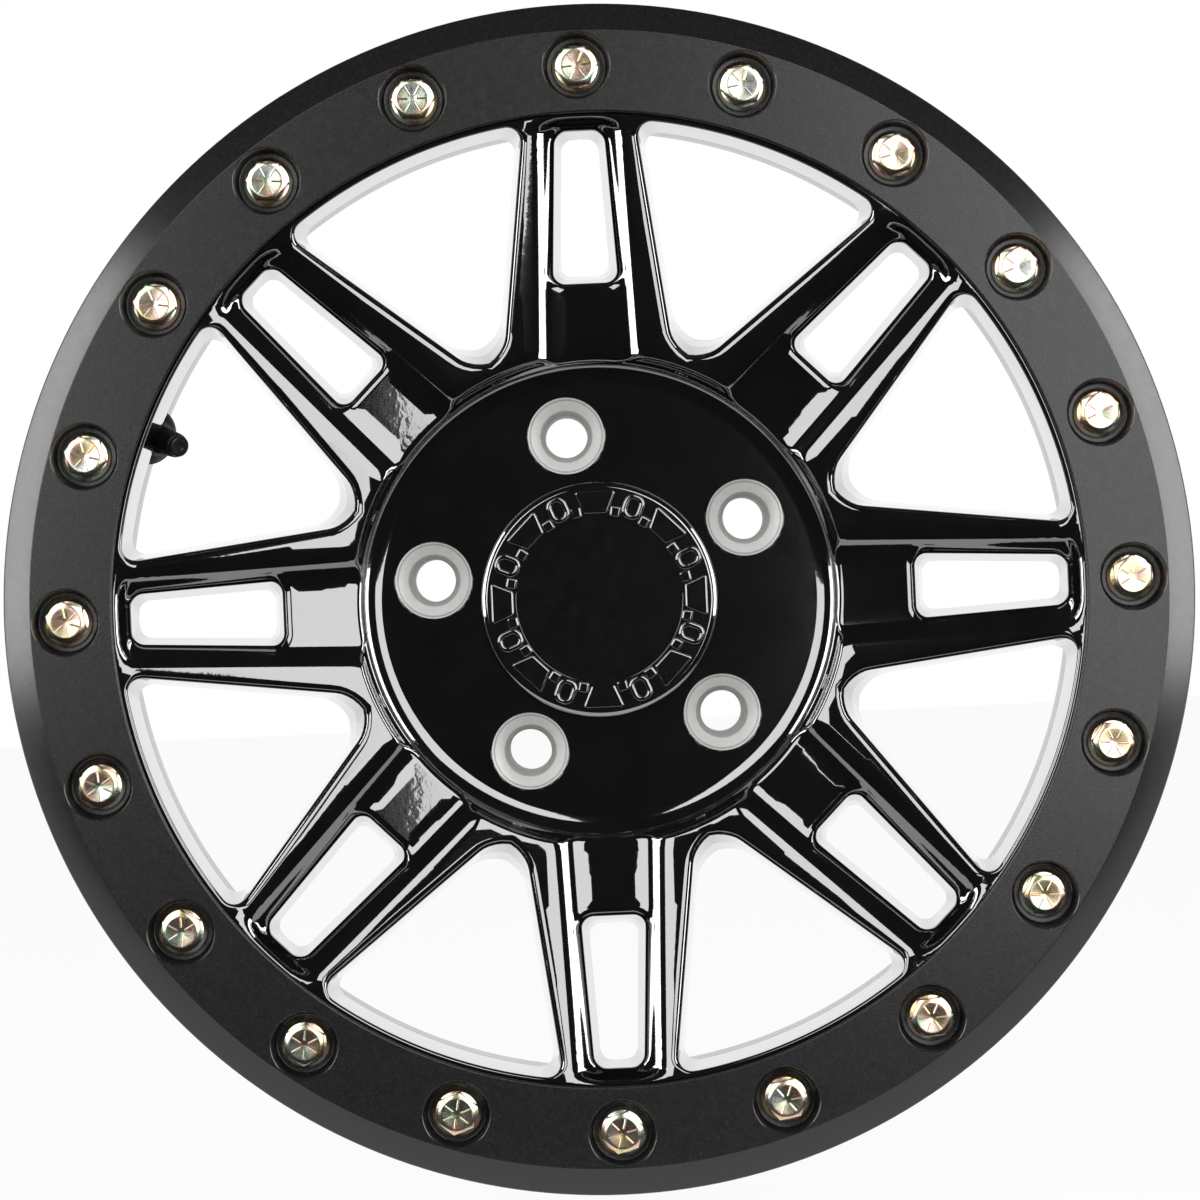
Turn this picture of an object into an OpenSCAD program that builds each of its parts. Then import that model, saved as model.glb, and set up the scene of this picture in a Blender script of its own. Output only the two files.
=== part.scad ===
// Beadlock wheel for a side-by-side utility vehicle, nominal 15 x 7 in, five studs.
// One-piece casting with eight split spokes, a bolted clamping ring, a snap-in centre cap
// and a snap-in rubber valve with its core and screw cap.
// Every module is drawn with the wheel axis along +Z, outboard up and the hub mounting face
// at zero. The whole is then turned so that outboard is -Y and the wheel stands upright.

/* [Rim] */
// How far the bead seats lie inside the ring's outer edge
bead_inset = 11.9; // [10:0.1:14]
// Distance from the ring seat to the inboard bead face
rim_width = 177.8; // [165:0.1:190]
// Height of the inboard flange above the bead seat
flange_h = 17.3; // [14:0.1:19]
// Depth of the well below the bead seat
well_drop = 16; // [14:0.5:17]
// Wall of the barrel at the bead seat and the cone
barrel_t = 6.5; // [5.5:0.1:8]
// Wall of the barrel at the well
well_t = 8.3; // [7:0.1:9]
// Width of the lip inside the ring's bore
lip_w = 1.6; // [1.2:0.1:3]

/* [Clamping ring] */
// Outer diameter of the ring
ring_d = 404; // [400:1:410]
// Width of the ring from its bore to its outer edge
ring_w = 37.6; // [36:0.1:39]
// Thickness of the ring
ring_t = 14; // [13:0.5:16]
// Width of the bevel at the outer edge
bevel_w = 10; // [8:0.5:12]
// Depth of the bevel
bevel_h = 7.5; // [5:0.5:9]
// Thickness of the clamped tyre bead
bead_gap = 13; // [11:0.5:15]

/* [Ring bolts] */
// Number of ring bolts
bolt_n = 20; // [16:1:24]
// Distance from the bolt circle to the ring's outer edge
bolt_inset = 21.7; // [21:0.1:22.5]
// Thread diameter
bolt_d = 7.9; // [6:0.1:8]
// Length below the head
bolt_len = 20; // [16:1:24]
// Width of the hexagon across its flats
hex_af = 12.7; // [11:0.1:13]
// Height of the hexagon above the flange
hex_h = 5.6; // [4.5:0.1:5.8]
// Diameter of the bolt flange
bolt_flange_d = 17; // [15:0.1:17.6]
// Thickness of the bolt flange
bolt_flange_t = 1.8; // [1.2:0.1:2]
// Diameter of each recess at the ring's face
recess_d = 23.2; // [22:0.1:24]
// Depth of each recess
recess_h = 8; // [7.5:0.1:9]

/* [Face] */
// Height of the ring's face above the hub mounting face
face_h = 56; // [54:0.5:60]
// How far the casting's lip lies below the ring's face
lip_drop = 2; // [1:0.1:3]
// Number of spokes
spoke_n = 8; // [7:1:9]
// Width of a spoke where it meets the barrel
spoke_w_rim = 37.5; // [34:0.5:40]
// Width of a spoke where it meets the hub
spoke_w_hub = 55.6; // [53:0.1:57]
// Slope of the spoke face from hub to rim, in degrees
spoke_tilt = 7.4; // [6.5:0.1:8]
// Depth of the pocket along each spoke
pocket_depth = 5.7; // [4:0.1:6.5]
// Width of the pocket floor at the rim
pocket_w_rim = 19.6; // [18:0.1:21]
// Width of the pocket floor at the hub
pocket_w_hub = 24.8; // [23:0.1:26]
// Sideways run of each pocket wall
pocket_wall = 6.6; // [5:0.1:7]
// Width of the slot at its rim end
slot_w_rim = 17.1; // [15:0.1:18]
// Width of the slot at its hub end
slot_w_hub = 22.4; // [20:0.1:23]
// Distance from the hub's disc to the slot
slot_hub_gap = 32.9; // [30:0.1:40]
// Distance from the slot to the barrel's inner wall
slot_rim_gap = 3.5; // [3:0.1:7]
// Radius of the window's tip at the lip's height
window_tip_r = 85; // [84:0.5:92]
// Corner radius of the windows
window_corner = 6.5; // [4:0.5:8]

/* [Hub] */
// Depth of the hub's flat disc below the ring's face
disc_drop = 24; // [23:0.5:26]
// Radius of the flat recessed disc
disc_r = 74.6; // [73:0.1:76]
// Radius of the fillet between the disc and the spokes
disc_fillet = 8; // [6:0.5:9]
// Radius of the mounting pad on the back
pad_r = 74; // [70:0.5:76]
// Pitch circle diameter of the wheel studs
lug_pcd = 114.3; // [112:0.1:116]
// Number of wheel studs
lug_n = 5; // [4:1:5]
// Diameter of the stud holes
lug_hole_d = 14.6; // [13:0.1:15]
// Outer diameter of the conical nut seats
lug_seat_d = 26.2; // [24:0.1:27]
// Diameter of the pilot bore on the back
pilot_d = 78.1; // [76:0.1:80]
// Depth of the pilot bore
pilot_h = 14; // [10:0.5:15]
// Diameter of the bore that holds the centre cap
cap_bore_d = 73.2; // [70:0.1:74]

/* [Centre cap] */
// Diameter of the cap
cap_d = 80.8; // [79:0.1:83]
// Height of the cap above the hub disc
cap_h = 3.4; // [3:0.1:5]
// Diameter of the plain disc in the middle
cap_disc_d = 57.4; // [54:0.1:60]
// Number of trapezoid pads, and of oval rings between them
cap_pads = 8; // [6:1:8]
// Number of snap legs
cap_legs = 6; // [4:1:6]
// Thickness of the snap legs
cap_leg_t = 1.8; // [1.5:0.1:2.2]
// Diameter of the spreader ring's wire
wire_d = 1.8; // [1.4:0.1:2]

/* [Valve] */
// Angle between the valve and the wheel axis, in degrees
valve_tilt = 38; // [36:0.5:40]
// Thickness of the wall that the valve snaps into
valve_wall = 6; // [5:0.1:6.5]
// Diameter of the valve hole
valve_hole_d = 11.4; // [11:0.1:11.8]
// Diameter of the rubber collar
collar_d = 18.8; // [17:0.1:19]
// Diameter of the stem's thread
stem_d = 7.7; // [7.5:0.05:7.8]
// Length of the stem outside the wall
stem_len = 16.5; // [16:0.1:18]
// Length of the screw cap
vcap_len = 13; // [12:0.1:15]
// Diameter of the screw cap over its ribs
vcap_d = 9.8; // [9.5:0.1:10.5]
// Travel of the valve pin
pin_travel = 1.5; // [1:0.1:1.6]

/* [Hidden] */
$fn = 96;
eps = 0.01;
running = 0.1;
snug = 0.05;

// Levels along the wheel axis
hub_t = face_h - disc_drop;
seat_z = face_h - ring_t;
flange_z = seat_z - bead_gap;
flange_back_z = flange_z - 7;
lip_z = face_h - lip_drop;
bead_z = seat_z - rim_width;

// Radii of the rim
ring_play = 0.3;
ring_bore_r = ring_d / 2 - ring_w;
bolt_pcd = ring_d - 2 * bolt_inset;
bead_r = ring_d / 2 - bead_inset;
step_r = bead_r - 0.3;
guard_r = bead_r + 9.4;
lip_r = ring_bore_r - ring_play;
barrel_in_r = lip_r - lip_w;
well_r = bead_r - well_drop;
well_in_r = well_r - well_t;
rim_r = bead_r + flange_h;
seat_in_r = bead_r - barrel_t - 0.6;

// Face of the spokes
pitch = 360 / spoke_n;
wall_a = 75;
web_r = disc_r + disc_fillet * cos(90 - wall_a);
web_z = hub_t + disc_fillet * (1 - sin(90 - wall_a));
ledge_r = web_r + pocket_depth / tan(wall_a);
ledge_z = web_z + pocket_depth;
rim_face_z = ledge_z + (barrel_in_r - ledge_r) * tan(spoke_tilt);
back_hub_z = 8;
back_rim_z = 20;
edge_a = atan2((spoke_w_hub - spoke_w_rim) / 2, barrel_in_r - ledge_r);

// Windows: the outline is drawn at the top and narrows towards the back
window_r = barrel_in_r + 0.9;
window_z = lip_z + 1;
window_h = 50;
window_tip_run = 13;
window_side_run = 5;

// Slots
slot_in_r = disc_r + slot_hub_gap;
slot_out_r = barrel_in_r - slot_rim_gap;
slot_z = lip_z;
slot_h = 46;
slot_corner = 4;
slot_end_run = 6.4;
slot_side_run = 3.4;

// Pockets, drawn along the sloping floor from inside the hub step
pocket_from = disc_r - 2;
pocket_end_r = barrel_in_r - 2.2;
pocket_end_run = 3;
pocket_corner = 4;

// Angle of the first stud hole
lug_a = 99;

// Bolts
recess_z = face_h - recess_h;
recess_floor_d = recess_d - 2.8;
bolt_clear = 0.45;
tap_depth = bolt_len + 2;
head_twist = 37;

// Valve axis: where it crosses the inner spot face
valve_a = pitch * 3.5;
valve_r = barrel_in_r + 4;
valve_z = 4;
boss_d = collar_d + 1.2;
boss_h = 10;
bulb_d = 15;
bulb_h = 8;
spot_d = bulb_d + 1.2;
rubber_top = 6.8;
slope_dr = 1 / tan(valve_tilt);
slope_mid_r = valve_r + valve_wall * sin(valve_tilt);
slope_mid_z = valve_z - valve_wall * cos(valve_tilt);

// Valve core, measured along the valve from the inner spot face
brass_r = 3.6;
chamber_r = 2.65;
chamber_from = 5.5;
lower_bore_r = 2;
core_from = 6.5;
core_neck = 12;
core_plug_r = 2.6;
core_barrel_r = 2.2;
spring_from = 8;
spring_to = 13;
spring_wire = 0.4;
spring_r = 1.25;
spring_turns = 5;
cavity_r = 1.7;
cavity_to = 14.2;
pin_r = 0.6;
pin_from = 4;
pin_top = stem_len + 0.1;
core_top = pin_top - pin_travel;
shoulder_r = 1.5;
shoulder_t = 0.7;
cup_r = 1.7;
cup_t = 1.8;
seal_t = 0.7;
vcap_from = rubber_top + 0.3;
vcap_ribs = 24;

// Points of an arc about c, from angle a to angle b in n steps
function arc(c, r, a, b, n) =
    [for (i = [0:n]) c + r * [cos(a + (b - a) * i / n), sin(a + (b - a) * i / n)]];

// A point turned about the wheel axis, and one mirrored in the X axis
function turned(p, a) = [p.x * cos(a) - p.y * sin(a), p.x * sin(a) + p.y * cos(a)];
function flipped(p) = [p.x, -p.y];

// Points that round the corner b, between its neighbours a and c, in n steps
function corner(a, b, c, r, n) =
    let (
        u = (a - b) / norm(a - b),
        v = (c - b) / norm(c - b),
        half = acos(u * v) / 2,
        centre = b + (u + v) / norm(u + v) * r / sin(half),
        from = b + u * r / tan(half) - centre
    )
    r == 0 ? [b] : arc(centre, r, atan2(from.y, from.x), atan2(from.y, from.x) + 180 - 2 * half, n);

// Convex outline with its own radius at each point, given anticlockwise
function rounded(points, radii, n) =
    let (m = len(points))
    [for (i = [0:m - 1]) each corner(points[(i + m - 1) % m], points[i], points[(i + 1) % m], radii[i], n)];

// Places its children on the valve axis, with +Z out of the spot face
module at_valve() {
    rotate([0, 0, valve_a])
        translate([valve_r, 0, valve_z])
            rotate([0, -valve_tilt, 0])
                children();
}

// Places its children at n equal angles on a circle
module around(n, r = 0, first = 0) {
    for (i = [0:n - 1])
        rotate([0, 0, first + i * 360 / n])
            translate([r, 0, 0])
                children();
}

// Section of the barrel: lip, ring seat, bead step, fixed flange, well, bead seat, inboard flange
module barrel_section() {
    curl_r = 6;
    polygon(concat(
        [[barrel_in_r, lip_z - 1.2],
        [barrel_in_r + 0.4, lip_z - 0.4],
        [barrel_in_r + 1, lip_z],
        [lip_r - 0.5, lip_z],
        [lip_r, lip_z - 0.5],
        [lip_r, seat_z],
        [step_r - 0.6, seat_z],
        [step_r, seat_z - 0.6],
        [step_r, flange_z],
        [guard_r - 1.5, flange_z],
        [guard_r, flange_z - 1.5],
        [guard_r, flange_back_z + 2],
        [guard_r - 2, flange_back_z],
        [step_r + 1, flange_back_z],
        [step_r - 1, flange_back_z - 2],
        [step_r - 1, slope_mid_z + (step_r - 1 - slope_mid_r) / slope_dr],
        [well_r, slope_mid_z + (well_r - slope_mid_r) / slope_dr],
        [well_r, -40],
        [bead_r - 7, bead_z + 31],
        [bead_r + 0.6, bead_z + 25],
        [bead_r + 0.6, bead_z + 23],
        [bead_r - 1, bead_z + 19],
        [bead_r + 0.4, bead_z + 3.5],
        [bead_r + 1.6, bead_z + 1],
        [bead_r + 4, bead_z]],
        arc([rim_r - curl_r, bead_z - curl_r], curl_r, 90, 0, 5),
        [[rim_r, bead_z - 9],
        [rim_r - 1.5, bead_z - 11.5],
        [rim_r - 5, bead_z - 12.5],
        [rim_r - 9, bead_z - 10],
        [bead_r, bead_z - 6.5],
        [seat_in_r + 1.5, bead_z + 2],
        [seat_in_r, bead_z + 25],
        [seat_in_r - 6, bead_z + 33],
        [well_in_r + 2, -42],
        [well_in_r, -10],
        [well_in_r, 0],
        [barrel_in_r, back_rim_z],
    ]));
}

// Section of the hub and of the plate that the spokes are cut from
module face_section() {
    embed = (lip_r - barrel_in_r) / 2;
    polygon(concat(
        [[0, 0],
        [pad_r - 1, 0],
        [pad_r, 1],
        [pad_r + 2, back_hub_z],
        [barrel_in_r + embed, back_rim_z],
        [barrel_in_r + embed, rim_face_z - 0.8],
        [barrel_in_r, rim_face_z],
        [ledge_r, ledge_z]],
        arc([disc_r, hub_t + disc_fillet], disc_fillet, wall_a - 90, -90, 6),
        [[0, hub_t]]
    ));
}

// Outline of the window between two spokes, centred on +X. Its outer arc lies inside the barrel.
function window_outline() =
    let (
        slant = pitch / 2 + edge_a,
        along = [cos(slant), -sin(slant)],
        start = turned([ledge_r, spoke_w_hub / 2], -pitch / 2),
        foot = start - (start * along) * along,
        tip = start + along * (window_tip_r - start.x) / along.x,
        outer = foot + along * sqrt(window_r * window_r - foot * foot),
        reach = atan2(outer.y, outer.x)
    )
    rounded(
        [tip, outer, for (i = [-1:1]) turned([window_r, 0], -i * reach / 2), flipped(outer), flipped(tip)],
        [window_corner, window_corner, 0, 0, 0, window_corner, window_corner],
        4);

// Window cutter, drafted so that its side and tip walls show from the front
module window_cutter() {
    length = window_r - window_tip_r;
    half_chord = window_r * sin(pitch / 2) - spoke_w_rim / 2;
    taper = [1 - window_tip_run / length, 1 - window_side_run / half_chord];
    translate([window_r, 0, window_z])
        rotate([180, 0, 0])
            linear_extrude(height = window_h, scale = taper, slices = 1, $fn = 6)
                translate([-window_r, 0])
                    polygon(window_outline());
}

// Outline from a to b along +X, with its width and corner radius at each end
function strip_outline(a, b, wa, wb, ra, rb) =
    rounded([[a, -wa / 2], [b, -wb / 2], [b, wb / 2], [a, wa / 2]], [ra, rb, rb, ra], 3);

// Slot through the pocket floor, drafted towards the back
module slot_cutter() {
    taper = [1 - slot_end_run / (slot_out_r - slot_in_r), 1 - 2 * slot_side_run / slot_w_rim];
    translate([slot_out_r, 0, slot_z])
        rotate([180, 0, 0])
            linear_extrude(height = slot_h, scale = taper, slices = 1, $fn = 6)
                translate([-slot_out_r, 0])
                    polygon(strip_outline(slot_in_r, slot_out_r, slot_w_hub, slot_w_rim,
                        slot_corner, slot_corner));
}

// Pocket along the spoke: a sloping floor with flared walls, open towards the hub
module pocket_cutter() {
    rise = 1.6 * pocket_depth;
    run = pocket_wall * rise / pocket_depth;
    length = pocket_end_r - pocket_from;
    taper = [1 + pocket_end_run * 1.6 / length, 1 + 4 * run / (pocket_w_hub + pocket_w_rim)];
    translate([pocket_from, 0, web_z - (web_r - pocket_from) * tan(spoke_tilt)])
        rotate([0, -spoke_tilt, 0])
            linear_extrude(height = rise, scale = taper, slices = 1, $fn = 6)
                polygon(strip_outline(0, length, pocket_w_hub, pocket_w_rim, 0, pocket_corner));
}

// Through hole with a conical nut seat
module lug_cutter() {
    throat_d = lug_hole_d + 3;
    seat_h = (lug_seat_d - throat_d) / 2 / tan(30);
    translate([0, 0, -1])
        cylinder(d = lug_hole_d, h = hub_t + 2);
    translate([0, 0, hub_t - seat_h - (throat_d - lug_hole_d) / 2])
        cylinder(d1 = lug_hole_d, d2 = throat_d, h = (throat_d - lug_hole_d) / 2);
    translate([0, 0, hub_t - seat_h])
        cylinder(d1 = throat_d, d2 = lug_seat_d, h = seat_h);
    translate([0, 0, hub_t - eps])
        cylinder(d = lug_seat_d, h = 1);
}

// Pilot bore from the back and the smaller bore that the cap snaps into
module hub_bore_cutter() {
    translate([0, 0, -1])
        cylinder(d = pilot_d, h = pilot_h + 1);
    translate([0, 0, -eps])
        cylinder(d1 = pilot_d + 2, d2 = pilot_d, h = 1);
    translate([0, 0, pilot_h - eps])
        cylinder(d1 = pilot_d, d2 = pilot_d - 1.6, h = 0.8 + eps);
    translate([0, 0, pilot_h])
        cylinder(d = pilot_d - 1.6, h = 4);
    cylinder(d = cap_bore_d, h = hub_t + 1);
    translate([0, 0, hub_t - 1])
        cylinder(d1 = cap_bore_d, d2 = cap_bore_d + 2.2, h = 1.1);
}

// Shallow relief in the mounting pad between two studs
module pad_relief() {
    relief_h = 4;
    r_mid = lug_pcd / 2 + 4;
    translate([0, 0, -1])
        linear_extrude(height = relief_h + 1)
            intersection() {
                difference() {
                    circle(r = r_mid + 7.5);
                    circle(r = r_mid - 7.5);
                }
                polygon([[0, 0], [2 * pad_r, -2 * pad_r * tan(15)], [2 * pad_r, 2 * pad_r * tan(15)]]);
            }
}

// Valve hole with its spot faces
module valve_hole_cutter() {
    at_valve() {
        translate([0, 0, -valve_wall - 1])
            cylinder(d = valve_hole_d, h = valve_wall + 2);
        cylinder(d = boss_d + 1, h = 26);
        translate([0, 0, -valve_wall - 24])
            cylinder(d = spot_d, h = 24);
    }
}

module wheel_casting() {
    color([0.03, 0.03, 0.035])
        difference() {
            union() {
                rotate_extrude($fn = 180)
                    barrel_section();
                difference() {
                    rotate_extrude($fn = 180)
                        face_section();
                    around(spoke_n, 0, pitch / 2)
                        window_cutter();
                    around(spoke_n)
                        pocket_cutter();
                    around(spoke_n)
                        slot_cutter();
                }
                at_valve()
                    translate([0, 0, -boss_h])
                        cylinder(d = boss_d, h = boss_h);
            }
            around(lug_n, lug_pcd / 2, lug_a)
                lug_cutter();
            around(lug_n, 0, lug_a + 180 / lug_n)
                pad_relief();
            hub_bore_cutter();
            around(bolt_n, bolt_pcd / 2)
                translate([0, 0, recess_z - tap_depth])
                    cylinder(d = bolt_d + 0.1, h = tap_depth, $fn = 32);
            valve_hole_cutter();
        }
}

// Section of the ring: flat face, outer bevel, clamping ridges on the back
module ring_section() {
    out_r = ring_d / 2;
    ridge_r = (bead_r + out_r) / 2;
    polygon([
        [ring_bore_r, seat_z + 0.4],
        [ring_bore_r, face_h - 0.7],
        [ring_bore_r + 0.2, face_h - 0.2],
        [ring_bore_r + 0.7, face_h],
        [out_r - bevel_w - 0.5, face_h],
        [out_r - bevel_w + 0.4, face_h - 0.3],
        [out_r - 1, face_h - bevel_h],
        [out_r - 0.2, face_h - bevel_h - 0.7],
        [out_r, face_h - bevel_h - 1.4],
        [out_r, seat_z + 1],
        [out_r - 1, seat_z],
        [ridge_r + 3, seat_z],
        [ridge_r + 2.2, seat_z - 0.8],
        [ridge_r + 1.4, seat_z],
        [ridge_r - 0.6, seat_z],
        [ridge_r - 1.4, seat_z - 0.8],
        [ridge_r - 2.2, seat_z],
        [ring_bore_r + 0.4, seat_z]
    ]);
}

module beadlock_ring() {
    color([0.07, 0.07, 0.075])
        difference() {
            rotate_extrude($fn = 180)
                ring_section();
            around(bolt_n, bolt_pcd / 2) {
                translate([0, 0, seat_z - 2])
                    cylinder(d = bolt_d + 2 * bolt_clear, h = ring_t, $fn = 32);
                translate([0, 0, recess_z])
                    cylinder(d1 = recess_floor_d, d2 = recess_d, h = recess_h + eps, $fn = 48);
            }
        }
}

// Flanged hexagon bolt with its head seated at zero
module ring_bolt() {
    corner_r = hex_af / sqrt(3);
    top_r = hex_af / 2 * 0.82;
    translate([0, 0, -bolt_len])
        cylinder(d = bolt_d, h = bolt_len + 0.2, $fn = 32);
    cylinder(d1 = bolt_flange_d, d2 = bolt_flange_d - 0.3, h = 0.6 * bolt_flange_t, $fn = 48);
    translate([0, 0, 0.6 * bolt_flange_t])
        cylinder(d1 = bolt_flange_d - 0.3, d2 = 2 * corner_r, h = 0.4 * bolt_flange_t, $fn = 48);
    intersection() {
        translate([0, 0, bolt_flange_t / 2])
            cylinder(r = corner_r, h = hex_h + bolt_flange_t / 2, $fn = 6);
        union() {
            cylinder(r = corner_r + 1, h = bolt_flange_t + hex_h - 1, $fn = 48);
            translate([0, 0, bolt_flange_t + hex_h - 1 - eps])
                cylinder(r1 = corner_r + 0.2, r2 = top_r, h = 1 + eps, $fn = 48);
        }
    }
}

module ring_bolts() {
    color([0.85, 0.78, 0.6])
        for (i = [0:bolt_n - 1])
            rotate([0, 0, i * 360 / bolt_n])
                translate([bolt_pcd / 2, 0, recess_z])
                    rotate([0, 0, i * head_twist])
                        ring_bolt();
}

// Trapezoid pad of the cap's relief, wide side outward
module cap_pad(half_out, half_in, r_in, r_out) {
    polygon([[r_in, -half_in], [r_out, -half_out], [r_out, half_out], [r_in, half_in]]);
}

// Outline of a rounded ring of the cap's relief, long side along the radius
module cap_oval(l, w, r) {
    polygon(rounded([[-l, -w] / 2, [l, -w] / 2, [l, w] / 2, [-l, w] / 2], [r, r, r, r], 4));
}

// Snap leg with its hook behind the cap bore
module cap_leg() {
    bore_r = cap_bore_d / 2;
    hook_z = pilot_h + 4;
    sweep = 24;
    out_r = bore_r - 0.6;
    rotate([0, 0, -sweep / 2])
        rotate_extrude(angle = sweep)
            polygon([
                [out_r - cap_leg_t, hub_t + 0.5],
                [out_r - cap_leg_t, hook_z - 3],
                [out_r - 0.8, hook_z - 3],
                [bore_r + 0.9, hook_z - 1],
                [bore_r + 0.9, hook_z - 0.2],
                [out_r, hook_z - 0.2],
                [out_r, hub_t + 0.5]
            ]);
}

module centre_cap() {
    top_z = hub_t + cap_h;
    cap_r = cap_d / 2;
    disc_edge = cap_disc_d / 2;
    land_r = disc_edge + 2.8;
    relief = 0.7;
    color([0.02, 0.02, 0.022]) {
        difference() {
            rotate_extrude()
                polygon([
                    [0, hub_t + 0.8],
                    [0, top_z - 0.2],
                    [disc_edge, top_z - 0.2],
                    [disc_edge + 0.3, top_z + relief],
                    [land_r, top_z + relief],
                    [land_r + 0.4, top_z],
                    [cap_r - 2.2, top_z],
                    [cap_r - 0.7, top_z - 0.6],
                    [cap_r, top_z - 1.8],
                    [cap_r, hub_t],
                    [cap_bore_d / 2 - 1.2 - cap_leg_t, hub_t],
                    [cap_bore_d / 2 - 2.2 - cap_leg_t, hub_t + 0.8]
                ]);
            around(cap_pads)
                translate([0, 0, top_z])
                    linear_extrude(height = 2)
                        cap_pad(7.3, 4.6, disc_edge - 0.4, cap_r - 3);
        }
        around(cap_pads)
            translate([0, 0, top_z - 0.3])
                linear_extrude(height = relief + 0.1)
                    cap_pad(6.3, 3.9, disc_edge + 0.7, cap_r - 3.8);
        around(cap_pads, (disc_edge + cap_r) / 2 - 1, 180 / cap_pads)
            translate([0, 0, top_z - 0.3])
                difference() {
                    linear_extrude(height = relief + 0.7)
                        cap_oval(8.6, 7, 2.6);
                    translate([0, 0, 0.5])
                        linear_extrude(height = 2)
                            cap_oval(5.4, 3.4, 1.5);
                }
        around(cap_legs, 0, 15)
            cap_leg();
    }
}

module cap_wire_ring() {
    inner_r = cap_bore_d / 2 - 0.6 - cap_leg_t;
    color("silver")
        rotate_extrude()
            translate([inner_r - wire_d / 2 - snug, pilot_h + 3])
                circle(d = wire_d, $fn = 24);
}

// Rubber body: bulb behind the wall, groove in the hole, flared collar and stem
module valve_rubber() {
    groove_r = valve_hole_d / 2 - snug;
    in_r = brass_r + snug;
    bulb_top = -valve_wall - snug;
    color([0.03, 0.03, 0.03])
        at_valve()
            rotate_extrude($fn = 64)
                polygon([
                    [in_r, bulb_top - bulb_h],
                    [bulb_d / 2 - 1.8, bulb_top - bulb_h],
                    [bulb_d / 2 - 0.4, bulb_top - bulb_h + 2],
                    [bulb_d / 2, bulb_top - 1],
                    [bulb_d / 2 - 0.4, bulb_top],
                    [groove_r, bulb_top],
                    [groove_r, snug],
                    [collar_d / 2 - 0.5, snug],
                    [collar_d / 2, 0.7],
                    [collar_d / 2 - 0.6, 1.3],
                    [6.4, 3.4],
                    [5.4, 4.6],
                    [4.9, rubber_top],
                    [in_r, rubber_top]
                ]);
}

// Brass stem moulded into the rubber, bored for the core
module valve_stem() {
    tail = -valve_wall - bulb_h;
    color([0.75, 0.6, 0.3])
        at_valve()
            difference() {
                union() {
                    translate([0, 0, tail])
                        cylinder(r = brass_r, h = stem_len - tail - 1, $fn = 48);
                    translate([0, 0, rubber_top + 0.1])
                        cylinder(d = stem_d, h = stem_len - rubber_top - 0.7, $fn = 48);
                    translate([0, 0, stem_len - 0.6 - eps])
                        cylinder(d1 = stem_d, d2 = stem_d - 1, h = 0.6 + eps, $fn = 48);
                }
                translate([0, 0, tail - 1])
                    cylinder(r = lower_bore_r, h = chamber_from - tail + 1, $fn = 48);
                translate([0, 0, chamber_from - eps])
                    cylinder(r = chamber_r, h = stem_len, $fn = 48);
            }
}

module core_housing() {
    color([0.8, 0.65, 0.35])
        at_valve()
            difference() {
                union() {
                    translate([0, 0, core_from])
                        cylinder(r = core_barrel_r, h = core_neck - core_from, $fn = 48);
                    translate([0, 0, core_neck - eps])
                        cylinder(r = core_plug_r, h = core_top - core_neck + eps, $fn = 48);
                }
                translate([0, 0, core_from - 1])
                    cylinder(r = pin_r + 0.3, h = 3, $fn = 32);
                translate([0, 0, spring_from])
                    cylinder(r = cavity_r, h = cavity_to - spring_from, $fn = 32);
                translate([0, 0, cavity_to - eps])
                    cylinder(r = pin_r + running, h = core_top, $fn = 32);
            }
}

module core_gasket() {
    gasket_t = 1.4;
    color([0.8, 0.1, 0.1])
        at_valve()
            translate([0, 0, core_neck - gasket_t - snug])
                difference() {
                    cylinder(r = chamber_r - snug, h = gasket_t, $fn = 48);
                    translate([0, 0, -1])
                        cylinder(r = core_barrel_r + snug, h = gasket_t + 2, $fn = 48);
                }
}

module core_pin() {
    color([0.7, 0.7, 0.72])
        at_valve() {
            translate([0, 0, pin_from])
                cylinder(r = pin_r, h = pin_top - pin_from, $fn = 32);
            translate([0, 0, spring_to + snug])
                cylinder(r = shoulder_r, h = shoulder_t, $fn = 32);
        }
}

module core_cup() {
    color([0.05, 0.05, 0.05])
        at_valve()
            translate([0, 0, core_from - cup_t - snug])
                difference() {
                    cylinder(r = cup_r, h = cup_t, $fn = 32);
                    translate([0, 0, -1])
                        cylinder(r = pin_r + 0.02, h = cup_t + 2, $fn = 32);
                }
}

// Coil spring with ground ends, swept from the level cut through its slanting wire
module core_spring() {
    free_h = spring_to - spring_from - 2 * snug;
    wire_r = spring_wire / 2;
    reach = 360 * wire_r * spring_turns / free_h;
    color([0.75, 0.75, 0.78])
        at_valve()
            translate([0, 0, spring_from + snug])
                linear_extrude(height = free_h, twist = -360 * spring_turns,
                    slices = 10 * spring_turns, $fn = 6)
                    polygon([for (t = [0:20:340])
                        let (a = reach * sin(t))
                        (spring_r + wire_r * cos(t)) * [cos(a), sin(a)]]);
}

// Ribbed outline of the screw cap
module vcap_outline(d) {
    polygon([for (i = [0:2 * vcap_ribs - 1])
        let (r = i % 2 == 0 ? d / 2 : d / 2 - 0.3, a = i * 180 / vcap_ribs)
        r * [cos(a), sin(a)]]);
}

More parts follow.
